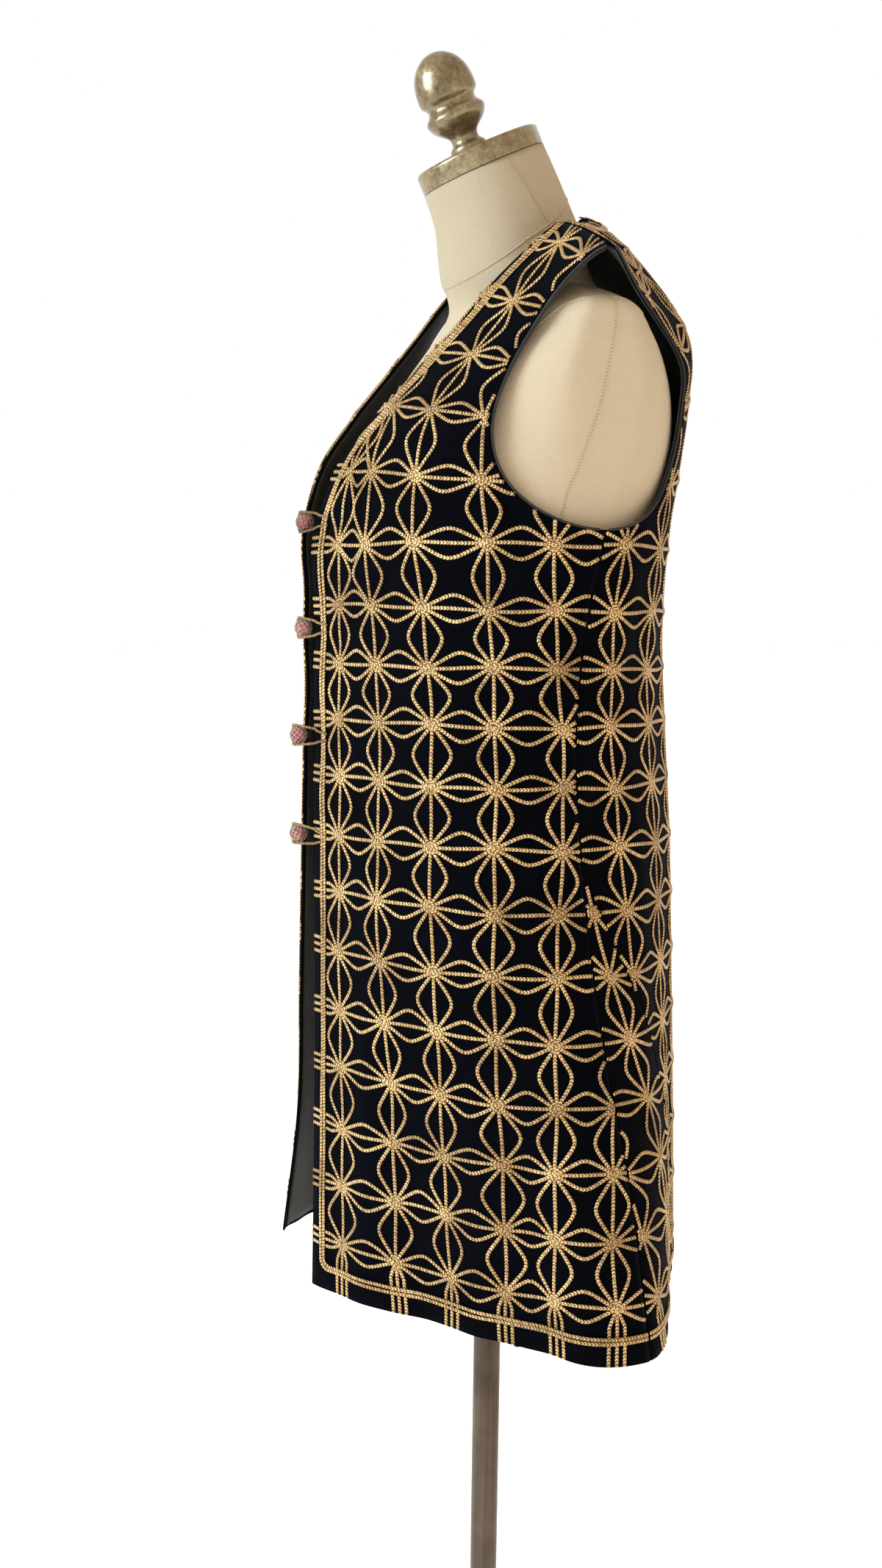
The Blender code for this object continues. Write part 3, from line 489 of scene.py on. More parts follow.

# Small creases, listed one by one: middle round the body and its level, half width round the body, half
# height along the cloth, how far it leans round the body per metre of level, and its height.
CREASES = (
    (0.02, 0.570, 0.060, 0.024, 0.0, 0.0022),
    (0.02, 0.486, 0.070, 0.026, 0.0, 0.0026),
    (0.03, 0.400, 0.065, 0.024, 0.0, 0.0020),
    (3.97, 0.571, 0.060, 0.024, 0.0, -0.0016),
    (3.98, 0.484, 0.060, 0.026, 0.0, -0.0018),
    (0.10, 0.610, 0.050, 0.012, 4.0, -0.0014),
    (0.12, 0.522, 0.060, 0.010, -3.0, -0.0012),
    (0.30, 0.470, 0.050, 0.130, 0.5, -0.0016),
    (0.52, 0.430, 0.060, 0.100, -0.7, 0.0018),
    (0.70, 0.500, 0.055, 0.090, -1.0, -0.0018),
    (0.88, 0.560, 0.045, 0.060, -2.6, -0.0026),
    (0.80, 0.640, 0.050, 0.050, 3.4, -0.0018),
    (0.60, 0.690, 0.070, 0.060, 3.0, 0.0018),
    (0.45, 0.780, 0.060, 0.060, 1.5, -0.0014),
    (0.22, 0.120, 0.060, 0.150, 0.3, 0.0030),
    (0.36, 0.070, 0.055, 0.110, -0.2, -0.0028),
    (0.58, 0.100, 0.060, 0.160, 0.4, 0.0036),
    (0.73, 0.060, 0.050, 0.120, -0.3, -0.0034),
    (0.12, 0.040, 0.050, 0.070, 0.4, -0.0018),
    (1.12, 0.430, 0.060, 0.090, 1.1, -0.0024),
    (1.30, 0.520, 0.080, 0.060, -1.4, -0.0020),
    (1.22, 0.300, 0.070, 0.110, 0.6, 0.0026),
    (1.62, 0.420, 0.090, 0.120, 0.3, 0.0022),
    (1.70, 0.640, 0.080, 0.070, -0.9, -0.0018),
    (1.86, 0.330, 0.070, 0.160, 0.1, -0.0030),
    (2.10, 0.360, 0.070, 0.140, -0.2, 0.0028),
    (2.30, 0.560, 0.070, 0.080, 1.0, -0.0022),
    (2.48, 0.450, 0.060, 0.110, 0.6, 0.0020),
    (2.78, 0.500, 0.060, 0.080, -1.3, -0.0024),
    (2.02, 0.700, 0.120, 0.050, 0.0, -0.0020),
    (3.10, 0.470, 0.055, 0.080, 1.8, -0.0022),
    (3.30, 0.540, 0.060, 0.080, 0.9, 0.0018),
    (3.45, 0.110, 0.060, 0.150, 0.4, 0.0036),
    (3.62, 0.080, 0.055, 0.130, -0.3, -0.0030),
    (3.80, 0.140, 0.060, 0.160, 0.2, 0.0030),
    (3.55, 0.400, 0.060, 0.100, -0.8, -0.0018),
    (3.24, 0.660, 0.055, 0.060, -3.2, -0.0020),
    (3.90, 0.060, 0.045, 0.080, 0.3, -0.0024),
)

# %% Rows of the cloth
TANGENT_STEP = 1e-3


def table_at(table, place):
    """Every column of a table at one place in its first column, on a smooth curve through the rows."""
    rows = np.array(table, float)
    known = rows[:, 0]
    values = rows[:, 1:]
    slopes = np.gradient(values, known, axis=0)
    i = int(np.clip(np.searchsorted(known, place, side="right") - 1, 0, len(known) - 2))
    step = known[i + 1] - known[i]
    t = (place - known[i]) / step
    near = (1 + 2 * t) * (1 - t) ** 2 * values[i] + t * (1 - t) ** 2 * step * slopes[i]
    far = t * t * (3 - 2 * t) * values[i + 1] - t * t * (1 - t) * step * slopes[i + 1]
    return near + far


def curve_point(corners, t):
    """Points of a cubic Bezier curve with those four corners."""
    t = np.atleast_1d(t)[:, None]
    a, b, c, d = corners
    return (1 - t) ** 3 * a + 3 * t * (1 - t) ** 2 * b + 3 * t * t * (1 - t) * c + t**3 * d


def quarter(start, end, start_round, end_round, start_lean=0.0):
    out = start_round * (end[0] - start[0])
    corner_a = np.array((start[0] + out, start[1] + start_lean * out, start[2]))
    corner_b = np.array((end[0], end[1] + end_round * (start[1] - end[1]), end[2]))
    return np.array(start), corner_a, corner_b, np.array(end)


def splay(level):
    """How far the front and back draw apart at the armhole, so that the shoulder's ridge is rounded."""
    s = max(0.0, (level - UNDERARM) / (SHOULDER - UNDERARM))
    return SHOULDER_SPLAY * s * s * (1.0 - s) ** 0.5 / (0.8**2 * 0.2**0.5)


def quarters(side, level):
    """The front and back quarter rows at a level, on the positive X side."""
    row = table_at(BODY, level)
    front_z, front_y, side_z, side_x, side_y, back_z, back_y, round_f, round_s, round_b = row
    left_x, right_x, right_forward, right_wider = table_at(OPENING, level)
    edge_x = left_x
    edge_y = front_y
    if side == RIGHT:
        edge_x = right_x
        edge_y = front_y - right_forward
        side_x = side_x + right_wider
    apart = splay(level)
    lean = FRONT_LEAN * min(1.0, max(0.0, (NECK_LEAN_END - level) / (NECK_LEAN_END - NECK_POINT)))
    front = quarter((edge_x, edge_y, front_z), (side_x, side_y - apart, side_z), round_f, round_s, lean)
    back = quarter((0.0, back_y, back_z), (side_x, side_y + apart, side_z), round_b, round_s)
    return front, back


def length_shares(corners):
    t = np.linspace(0.0, 1.0, 33)
    points = curve_point(corners, t)
    run = np.concatenate(([0.0], np.cumsum(np.linalg.norm(np.diff(points, axis=0), axis=1))))
    return t, run / run[-1], run[-1]


def fold_height(around, level):
    out = np.zeros_like(around)
    for middle, half_width, depth, top in FOLDS:
        if level < top:
            fade = (1.0 - level / top) ** 1.4
            out = out + depth * fade * np.exp(-(((around - middle) / half_width) ** 2))
    return out


def row_points(side, q, level):
    """Points on the cloth's outer face at one level, for an array of q from 0, the edge, to 2, the back."""
    front, back = quarters(side, level)
    points = np.zeros((len(q), 3))
    outward = np.zeros((len(q), 2))
    for corners, inside, share in ((front, q <= 1.0, q), (back, q > 1.0, 2.0 - q)):
        t_known, shares, _ = length_shares(corners)
        t = np.interp(share[inside], shares, t_known)
        here = curve_point(corners, t)
        after = curve_point(corners, np.minimum(t + TANGENT_STEP, 1.0))
        ahead = after - curve_point(corners, np.maximum(t - TANGENT_STEP, 0.0))
        turn = -1.0 if corners is front else 1.0
        points[inside] = here
        outward[inside] = turn * np.stack((-ahead[:, 1], ahead[:, 0]), axis=1)
    outward /= np.linalg.norm(outward, axis=1)[:, None]
    around = q if side == LEFT else 4.0 - q
    points[:, :2] += fold_height(around, level)[:, None] * outward
    points[:, 0] *= side
    return points


# %% [markdown]
# ## One fine grid of the whole cloth
# Asking for a row is slow, so the whole cloth is worked out once, as a fine grid of points, and every
# panel, braid and cord then looks its places up in it. The small creases go on here, along the
# surface's own normals, so that all that lies on the cloth follows them.

# %% The cloth grid
LEVELS = np.linspace(0.0, SHOULDER, 369)
AROUND = np.linspace(0.0, 4.0, 641)


def grid_normals(points):
    along = np.gradient(points, axis=1)
    up = np.gradient(points, axis=0)
    normal = np.cross(along, up)
    return normal / np.linalg.norm(normal, axis=2)[:, :, None]


def crease_height(around, level):
    out = np.zeros_like(around)
    for middle, at, half_width, half_height, lean, height in CREASES:
        across = (around - middle - lean * (level - at)) / half_width
        out += height * np.exp(-(across**2) - ((level - at) / half_height) ** 2)
    return out


def make_cloth():
    half = len(AROUND) // 2
    rows = []
    widths = {(side, part): [] for side in (LEFT, RIGHT) for part in ("front", "back")}
    for level in LEVELS:
        left = row_points(LEFT, AROUND[: half + 1], level)
        right = row_points(RIGHT, 4.0 - AROUND[half + 1 :], level)
        rows.append(np.concatenate((left, right)))
        for side in (LEFT, RIGHT):
            front, back = quarters(side, level)
            widths[side, "front"].append(length_shares(front)[2])
            widths[side, "back"].append(length_shares(back)[2])
    points = np.array(rows)
    normals = grid_normals(points)
    level_grid, around_grid = np.meshgrid(LEVELS, AROUND, indexing="ij")
    points = points + crease_height(around_grid, level_grid)[:, :, None] * normals
    return points, grid_normals(points), {k: np.array(v) for k, v in widths.items()}


cloth_points, cloth_normals, cloth_widths = make_cloth()


def cloth_at(around, level):
    """Points and normals of the outer face, for arrays of places."""
    i = np.clip(np.asarray(level, float) / LEVELS[1], 0.0, len(LEVELS) - 1.001)
    j = np.clip(np.asarray(around, float) / AROUND[1], 0.0, len(AROUND) - 1.001)
    i0 = i.astype(int)
    j0 = j.astype(int)
    u = (i - i0)[..., None]
    v = (j - j0)[..., None]
    found = []
    for grid in (cloth_points, cloth_normals):
        low = grid[i0, j0] * (1 - v) + grid[i0, j0 + 1] * v
        high = grid[i0 + 1, j0] * (1 - v) + grid[i0 + 1, j0 + 1] * v
        found.append(low * (1 - u) + high * u)
    found[1] /= np.linalg.norm(found[1], axis=-1)[..., None]
    return found


def width_at(side, part, level):
    return np.interp(level, LEVELS, cloth_widths[side, part])


print("cloth grid", cloth_points.shape, "highest", cloth_points[..., 2].max().round(3))

# %% [markdown]
# ## Where each panel ends
# A panel is a region of that map. Its edges are the front edge and V neck, the side seam and armhole,
# the gore's slanting seams, and the back neck. Everything is measured in metres along the row.

# %% Panel edges


def armhole_share(level):
    s = np.clip((level - UNDERARM) / (SHOULDER - UNDERARM), 0.0, 1.0)
    return s**0.5 * (1.0 - s) ** 0.9 / (0.357**0.5 * 0.643**0.9)


def neck_cut(level):
    return NECK_HALF_WIDTH * np.clip((level - NECK_POINT) / (SHOULDER - NECK_POINT), 0.0, 1.0)


def back_neck_cut(level):
    up = np.clip((level - BACK_NECK) / (SHOULDER - BACK_NECK), 0.0, 1.0)
    return NECK_HALF_WIDTH * np.sqrt(np.clip(1.0 - (1.0 - up) ** 2, 0.0, 1.0))


def front_limits(side, level):
    """Distances from the front line to the front's edge and to its side seam or armhole."""
    width = width_at(side, "front", level)
    return neck_cut(level), width * (1.0 - ARMHOLE_FRONT * armhole_share(level))


def gore_cut(level):
    return GORE_WIDTH * np.clip(1.0 - level / GORE_TOP, 0.0, 1.0)


def back_limits(side, level):
    """Distances from centre back to the back's neck edge and to its side."""
    width = width_at(side, "back", level)
    return back_neck_cut(level), width * (1.0 - ARMHOLE_BACK * armhole_share(level)) - gore_cut(level)


def front_around(side, s, level):
    q = s / width_at(side, "front", level)
    return q if side == LEFT else 4.0 - q


def back_around(s, level):
    """s is the distance from centre back, positive towards the wearer's left."""
    left = 2.0 - s / width_at(LEFT, "back", level)
    right = 2.0 - s / width_at(RIGHT, "back", level)
    return np.where(s >= 0, left, right)


def gore_around(side, s, level):
    q = 1.0 + s / width_at(side, "back", level)
    return q if side == LEFT else 4.0 - q


SEAM = 0.0003


def dense(*spans):
    """Levels packed closely where an edge turns fast. Each span is start, end, count and how packed."""
    return np.unique(np.concatenate([a + (b - a) * np.linspace(0, 1, n) ** p for a, b, n, p in spans]))


PANEL_LEVELS = dense((0.0, UNDERARM, 150, 1.0), (UNDERARM, SHOULDER - 0.0015, 84, 1.7))
BACK_LEVELS = dense((0.0, UNDERARM, 150, 1.0), (UNDERARM, BACK_NECK, 70, 1.7),
                    (BACK_NECK, SHOULDER - 0.0015, 26, 2.0))
print("panel rows", len(PANEL_LEVELS), len(BACK_LEVELS))

# %% [markdown]
# ## Turning a grid of points into cloth
# A panel is a sheet of four-sided faces with its outer side out, and the Solidify modifier then gives it
# its thickness. The UV map is the flat pattern piece itself, in metres.

# %% Mesh helpers


def new_piece(name, vertices, faces, uvs, finish):
    mesh = bpy.data.meshes.new(name)
    mesh.from_pydata(vertices.tolist(), [], faces.tolist())
    layer = mesh.uv_layers.new(name="UVMap")
    layer.data.foreach_set("uv", uvs[faces.ravel()].astype(np.float32).ravel())
    mesh.materials.append(finish)
    mesh.shade_smooth()
    made = bpy.data.objects.new(name, mesh)
    bpy.context.scene.collection.objects.link(made)
    return made


def grid_faces(rows, columns):
    start = (np.arange(rows - 1)[:, None] * columns + np.arange(columns - 1)[None, :]).ravel()
    return np.stack((start, start + 1, start + columns + 1, start + columns), axis=1)


def only(piece):
    """Selects one piece and makes it active, so that an operator acts on it alone."""
    bpy.ops.object.select_all(action="DESELECT")
    piece.select_set(True)
    bpy.context.view_layer.objects.active = piece


def apply_modifier(piece, kind, **settings):
    only(piece)
    modifier = piece.modifiers.new(kind.lower(), kind)
    for key, value in settings.items():
        setattr(modifier, key, value)
    bpy.ops.object.modifier_apply(modifier=modifier.name)


def finish_piece(piece, body, slot, *nodes):
    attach(piece, body)
    if nodes:
        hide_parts(*nodes)
    return piece


def panel(name, around, level, flat, depth, thickness, finish, flip=False):
    """A cloth panel from grids of places, moved in by depth, with its wall growing inwards."""
    points, normals = cloth_at(around, level)
    points = points - depth * normals
    rows, columns = level.shape
    faces = grid_faces(rows, columns)
    if flip:
        faces = faces[:, ::-1]
    uvs = np.stack((flat.ravel(), level.ravel()), axis=1)
    piece = new_piece(name, points.reshape(-1, 3), faces, uvs, finish)
    apply_modifier(piece, "SOLIDIFY", thickness=thickness, offset=-1.0, use_even_offset=True)
    return piece


def panel_grid(levels, columns, limits, inset_first=0.0, inset_last=0.0):
    low, high = limits
    share = np.linspace(0.0, 1.0, columns)[None, :]
    low = (low + inset_first)[:, None]
    high = (high - inset_last)[:, None]
    return low + (high - low) * share, np.repeat(levels[:, None], columns, axis=1)


def flat_area(flat, level):
    width = flat.max(axis=1) - flat.min(axis=1)
    return float(np.sum(0.5 * (width[1:] + width[:-1]) * np.diff(level[:, 0])))


# %% [markdown]
# ## The velvet panels and their lining
# Front, back and gore are cut apart and meet at seams, as on the real vest. The lining is the same shape
# again, 4 mm smaller at the front edge and hem, so that a rim of turned velvet shows around it.


def declare(piece, flat, level):
    size = (float(flat.max() - flat.min()), float(level.max() - level.min()))
    area = flat_area(flat, level)
    print(piece.name, "cut", round(size[0], 3), "x", round(size[1], 3), "m, area", round(area, 3), "m2")


def front_panel(side, name, levels, columns, inset, depth, thickness, finish):
    low, high = front_limits(side, levels)
    flat, level = panel_grid(levels, columns, (low, high), inset, SEAM)
    around = front_around(side, flat, level)
    piece = panel(name, around, level, flat, depth, thickness, finish, side == RIGHT)
    declare(piece, flat, level)
    return piece


def build_back(name, levels, columns, depth, thickness, finish):
    """The back is made as two halves and joined down its middle, below the neck."""
    vertices, faces, uvs, wide, area = [], [], [], 0.0, 0.0
    for side in (LEFT, RIGHT):
        flat, level = panel_grid(levels, columns, back_limits(side, levels), 0.0, SEAM)
        points, normals = cloth_at(back_around(side * flat, level), level)
        quads = grid_faces(*level.shape) + len(vertices) * level.size
        vertices.append((points - depth * normals).reshape(-1, 3))
        faces.append(quads[:, ::-1] if side == LEFT else quads)
        uvs.append(np.stack((side * flat.ravel(), level.ravel()), axis=1))
        wide += flat.max()
        area += flat_area(flat, level)
    piece = new_piece(name, np.concatenate(vertices), np.concatenate(faces), np.concatenate(uvs), finish)
    only(piece)
    bpy.ops.object.mode_set(mode="EDIT")
    bpy.ops.mesh.select_all(action="SELECT")
    bpy.ops.mesh.remove_doubles(threshold=0.00001)
    bpy.ops.object.mode_set(mode="OBJECT")
    apply_modifier(piece, "SOLIDIFY", thickness=thickness, offset=-1.0, use_even_offset=True)
    print(name, "cut", round(wide, 3), "wide, area", round(area, 3), "m2")
    return piece


def gore_panel(side, name, levels, columns, depth, thickness, finish):
    width = gore_cut(levels)
    flat, level = panel_grid(levels, columns, (np.zeros_like(width), width), SEAM, SEAM)
    around = gore_around(side, flat, level)
    piece = panel(name, around, level, flat, depth, thickness, finish, side == RIGHT)
    declare(piece, flat, level)
    return piece


GORE_LEVELS = np.linspace(0.0, GORE_TOP - 0.006, 90)
LINING_LEVELS = dense((LINING_INSET, UNDERARM, 90, 1.0), (UNDERARM, SHOULDER - 0.003, 50, 1.7))
LINING_BACK_LEVELS = dense((LINING_INSET, UNDERARM, 90, 1.0), (UNDERARM, BACK_NECK, 44, 1.7),
                           (BACK_NECK, SHOULDER - 0.003, 18, 2.0))
for side, word in ((LEFT, "left"), (RIGHT, "right")):
    made = front_panel(side, f"velvet_front_{word}", PANEL_LEVELS, 56, 0.0, 0.0, VELVET_THICKNESS, velvet)
    finish_piece(made, "form", "velvet", f"front_{word}")
    made = gore_panel(side, f"velvet_gore_{word}", GORE_LEVELS, 28, 0.0, VELVET_THICKNESS, velvet)
    finish_piece(made, "form", "velvet", f"gore_{word}")
    made = front_panel(side, f"lining_cloth_front_{word}", LINING_LEVELS, 30, LINING_INSET, LINING_DEPTH,
                       LINING_THICKNESS, lining_cloth)
    finish_piece(made, "form", "lining", f"lining_front_{word}")
    made = gore_panel(side, f"lining_cloth_gore_{word}", GORE_LEVELS[1::2], 14, LINING_DEPTH,
                      LINING_THICKNESS, lining_cloth)
    finish_piece(made, "form", "lining", f"lining_gore_{word}")
made = build_back("velvet_back", BACK_LEVELS, 40, 0.0, VELVET_THICKNESS, velvet)
finish_piece(made, "form", "velvet", "back")
made = build_back("lining_cloth_back", LINING_BACK_LEVELS, 24, LINING_DEPTH, LINING_THICKNESS, lining_cloth)
finish_piece(made, "form", "lining", "lining_back")

# %% [markdown]
# ## Cords couched on the cloth
# A couched cord is laid on the cloth and stitched down, so it is a low, rounded ribbon that follows the
# surface. It is swept along a path: at each point the cloth's normal says which way is up, and a small
# section of six points is placed across it. Hundreds of such ribbons become one mesh per panel.

# %% The ribbon sweep
# across, up: places of the section's points, in half widths and thicknesses, from one side over the top
SECTION = np.array(((-1.0, 0.30), (-0.62, 0.86), (0.0, 1.0), (0.62, 0.86), (1.0, 0.30), (0.0, -0.15)))
ROUND_SECTION = np.array([(-math.cos(t), 0.5 + 0.5 * math.sin(t)) for t in np.arange(8) * 0.25 * math.pi])


def ribbon_rings(points, normals, width, thickness, section):
    ahead = np.gradient(points, axis=0)
    ahead /= np.linalg.norm(ahead, axis=1)[:, None]
    across = np.cross(normals, ahead)
    across /= np.linalg.norm(across, axis=1)[:, None]
    up = np.cross(ahead, across)
    return (points[:, None] + 0.5 * width * section[None, :, 0, None] * across[:, None]
            + thickness * section[None, :, 1, None] * up[:, None])


def ribbons(name, runs, width, thickness, finish, section=SECTION):
    """One mesh of many closed ribbons. Each run is its points, its normals and its lift off the cloth."""
    count = len(section)
    vertices, faces, uvs, base = [], [], [], 0
    for points, normals, lift in runs:
        points = points + np.asarray(lift).reshape(-1, 1) * normals
        rings = ribbon_rings(points, normals, width, thickness, section)
        n = len(points)
        run = np.concatenate(([0.0], np.cumsum(np.linalg.norm(np.diff(points, axis=0), axis=1))))
        i = (base + np.arange(n - 1)[:, None] * count + np.arange(count)[None, :]).ravel()
        j = (base + np.arange(n - 1)[:, None] * count + (np.arange(count)[None, :] + 1) % count).ravel()
        faces.append(np.stack((i, i + count, j + count, j), axis=1))
        end = base + (n - 1) * count
        caps = [(k, k + 1, count - 2 - k, count - 1 - k) for k in range(count // 2 - 1)]
        faces.append(np.array([[base + k for k in cap] for cap in caps]))
        faces.append(np.array([[end + k for k in reversed(cap)] for cap in caps]))
        vertices.append(rings.reshape(-1, 3))
        uv = np.zeros((n, count, 2))
        uv[:, :, 0] = run[:, None]
        uv[:, :, 1] = section[None, :, 0]
        uvs.append(uv.reshape(-1, 2))
        base += n * count
    piece = new_piece(name, np.concatenate(vertices), np.concatenate(faces), np.concatenate(uvs), finish)
    print(name, len(runs), "cords,", 2 * len(piece.data.polygons), "triangles")
    return piece


# %% [markdown]
# ## Charting the grid of stars
# The pattern is a square grid. Each line of the grid is a bundle of three cords: the middle one runs
# straight, and the outer two bow apart between crossings and cross over each other at every crossing, so
# each crossing is a star of rays with petals between. Nothing is drawn point by point: a column and a row
# each have a formula, with a slow waver because the cords were laid by hand. Above the chest the rows
# widen, and the front's columns lean to follow the neck, which a short table gives.

# %% Grid formulas
COLUMN_STEP = 0.0508
ROW_STEP = 0.0463
FIRST_COLUMN = 0.034
FIRST_ROW = 0.0417
PETAL_WIDE = 0.0140
PETAL_TALL = 0.0108
PETAL_ROUNDING = 0.075
STUB_SPREAD = 0.0056
CORD_WIDTH = 0.0032
CORD_THICKNESS = 0.0012
LAYER_LIFT = 0.00030
PATH_STEP = 0.0036
ROW_COUNT = 18
ROW_RISE = 0.0080
WIDE_ROWS_FROM = 12.5
WIDE_ROWS_EXTRA = 0.0155
# How far the front's columns lean: height on the cloth, then the lean of its first to sixth column
COLUMN_LEAN = (
    (0.000, 0.003, 0.006, 0.003, 0.001, -0.009, -0.016),
    (0.150, 0.003, 0.006, 0.003, 0.001, -0.009, -0.016),
    (0.300, 0.000, -0.005, -0.006, -0.007, -0.008, -0.010),
    (0.450, 0.000, -0.007, -0.007, -0.007, -0.007, -0.008),
    (0.555, 0.000, -0.015, -0.018, -0.016, -0.016, -0.016),
    (0.600, 0.000, -0.020, -0.024, -0.018, -0.018, -0.018),
    (0.650, 0.000, -0.026, -0.032, -0.027, -0.027, -0.027),
    (0.715, 0.000, -0.042, -0.047, -0.047, -0.047, -0.047),
    (0.780, 0.000, -0.042, -0.042, -0.050, -0.050, -0.050),
    (0.850, 0.000, -0.030, -0.030, -0.036, -0.036, -0.036),
    (0.920, 0.000, -0.022, -0.022, -0.026, -0.026, -0.026),
)


def petal(share):
    """How far the outer cords stand apart between two crossings: straight sides and a rounded middle."""
    middle = np.abs(2.0 * share - 1.0)
    top = math.sqrt(1.0 + PETAL_ROUNDING)
    rise = (top - np.sqrt(middle**2 + PETAL_ROUNDING)) / (top - math.sqrt(PETAL_ROUNDING))
    return np.clip(rise, 0.0, 1.0) ** 1.12


def waver(a, b):
    return 0.0009 * np.sin(27.0 * a + 2.3 * b) + 0.0007 * np.sin(71.0 * a + 5.1 * b + 1.0)


def upright(_, level):
    """No lean: the columns of the back and the gores stand straight."""
    return 0.0 * level


def front_lean(column, level):
    """How far a front column stands from its own line, at a height: towards the edge is negative."""
    leans = np.array([table_at(COLUMN_LEAN, place) for place in np.atleast_1d(level)])
    index = int(np.clip(round((column - FIRST_COLUMN) / COLUMN_STEP), 0, leans.shape[1] - 1))
    return leans[:, index] if np.ndim(level) else leans[0, index]


def column_place(column, level, seed, lean=upright):
    return column + lean(column, level) + waver(level, 40.0 * column + seed)


def row_level(k):
    """Rows are even up to the chest, and wider apart from there to the shoulder."""
    rise = ROW_RISE * math.sin(math.pi * min(k / 11.0, 1.0))
    return FIRST_ROW + ROW_STEP * k + rise + WIDE_ROWS_EXTRA * max(k - WIDE_ROWS_FROM, 0.0)


def row_place(k, s, seed):
    return row_level(k) + waver(s, 1.7 * k + seed)


def uneven(a, b):
    """A steady factor near 1, different for each pair of numbers."""
    return 1.0 + 0.10 * math.sin(12.9 * a + 78.2 * b) + 0.05 * math.sin(39.3 * a + 11.1 * b)


def cells_along(path, nodes, size, stub, seed):
    """For places along a line: the cell each is in, its spread there, and its distance to a crossing."""
    spread = np.zeros_like(path)
    sign = np.ones_like(path)
    for k, (low, high) in enumerate(zip(nodes, nodes[1:])):
        here = (path >= low) & (path < high)
        spread[here] = size * uneven(k, seed) * petal((path[here] - low) / (high - low))
        sign[here] = 1.0 if k % 2 else -1.0
    before = path < nodes[0]
    spread[before] = stub * np.clip((nodes[0] - path[before]) / 0.013, 0.0, 1.0) ** 0.9
    near = np.min(np.abs(path[:, None] - np.array(nodes)[None, :]), axis=1)
    return spread * sign, near


def column_cords(column, seed, lean=upright):
    level = np.arange(0.0, SHOULDER, PATH_STEP)
    nodes = [float(row_place(k, column, seed)) for k in range(ROW_COUNT + 1)]
    bow, near = cells_along(level, nodes, PETAL_WIDE, STUB_SPREAD, 10.0 * column + seed)
    middle = column_place(column, level, seed, lean)
    for layer, side in enumerate((0.0, 1.0, -1.0)):
        yield middle + side * bow, level, LAYER_LIFT * layer * np.exp(-((near / 0.007) ** 2))


def row_cords(k, columns, start, end, seed, stubs, lean=upright):
    s = np.arange(start, end, PATH_STEP)
    here = row_place(k, s, seed)
    nodes = [float(column_place(c, row_level(k), seed, lean)) for c in columns]
    bow, near = cells_along(s, nodes, PETAL_TALL, STUB_SPREAD if stubs else PETAL_TALL, 3.0 * k + seed)
    for layer, side in enumerate((0.0, 1.0, -1.0)):
        yield s, here + side * bow, LAYER_LIFT * (3 + layer) * np.exp(-((near / 0.007) ** 2))


# %% [markdown]
# ## Cutting the cords at the panel's edges
# Each cord is drawn right across and then cut where it leaves the panel. A panel gives one number for any
# place, its room: the distance to the nearest edge, negative outside. The cord ends where that number
# passes through zero.

# %% Cutting and laying
EDGE_GAP = 0.0004
SEAM_GAP = 0.0010
ARMHOLE_GAP = 0.0030
SHOULDER_GAP = 0.002


def cut_runs(s, level, lift, room):
    """The stretches of a path inside a panel, each with its ends moved on to the panel's edge."""
    inside = room > 0
    runs = []
    i = 0
    while i < len(s):
        if not inside[i]:
            i += 1
            continue
        j = i
        while j + 1 < len(s) and inside[j + 1]:
            j += 1
        rows = [np.stack((s[i : j + 1], level[i : j + 1], lift[i : j + 1]), axis=1)]
        for edge, beyond, first in ((i, i - 1, True), (j, j + 1, False)):
            if 0 <= beyond < len(s):
                t = room[edge] / (room[edge] - room[beyond])
                near = np.array((s[edge], level[edge], lift[edge]))
                far = np.array((s[beyond], level[beyond], lift[beyond]))
                end = (near + t * (far - near))[None]
                if t > 0.15:
                    rows = [end, *rows] if first else [*rows, end]
        run = np.concatenate(rows)
        if len(run) >= 3:
            runs.append(run)
        i = j + 1
    return runs


def lay(paths, room_of, around_of, lift):
    laid = []
    for s, level, height in paths:
        level = np.clip(level, 0.0, SHOULDER)
        for run in cut_runs(s, level, height, room_of(s, level)):
            points, normals = cloth_at(around_of(run[:, 0], run[:, 1]), run[:, 1])
            laid.append((points, normals, run[:, 2] + lift))
    return laid


def front_room(side):
    def room(s, level):
        low, high = front_limits(side, level)
        turned = np.where(level > UNDERARM, ARMHOLE_GAP, SEAM_GAP)
        ends = np.minimum(level - EDGE_GAP, SHOULDER - SHOULDER_GAP - level)
        return np.minimum.reduce([s - low - EDGE_GAP, high - turned - s, ends])

    return room


def back_room(s, level):
    low, high = back_limits(LEFT, level)
    high_right = back_limits(RIGHT, level)[1]
    high = np.where(s >= 0, high, high_right)
    turned = np.where(level > UNDERARM, ARMHOLE_GAP, SEAM_GAP)
    neck = np.where(level > BACK_NECK, np.abs(s) - low - SEAM_GAP, 1.0)
    ends = np.minimum(level - EDGE_GAP, SHOULDER - SHOULDER_GAP - level)
    return np.minimum.reduce([neck, high - turned - np.abs(s), ends])


def gore_room(s, level):
    return np.minimum.reduce([s - SEAM_GAP, gore_cut(level) - SEAM_GAP - s, level - EDGE_GAP])


# %% Lay the grid on every panel
FRONT_COLUMNS = [FIRST_COLUMN + COLUMN_STEP * j for j in range(-1, 7)]
BACK_COLUMNS = [COLUMN_STEP * j for j in range(-5, 6)]
GRID_LIFT = 0.00012
GORE_ROWS = 7


def front_net(side, seed):
    columns = FRONT_COLUMNS[1:]
    paths = [cord for c in columns for cord in column_cords(c, seed, front_lean)]
    for k in range(ROW_COUNT):
        paths += list(row_cords(k, columns, 0.0, 0.335, seed, True, front_lean))
    return lay(paths, front_room(side), lambda s, v: front_around(side, s, v), GRID_LIFT)


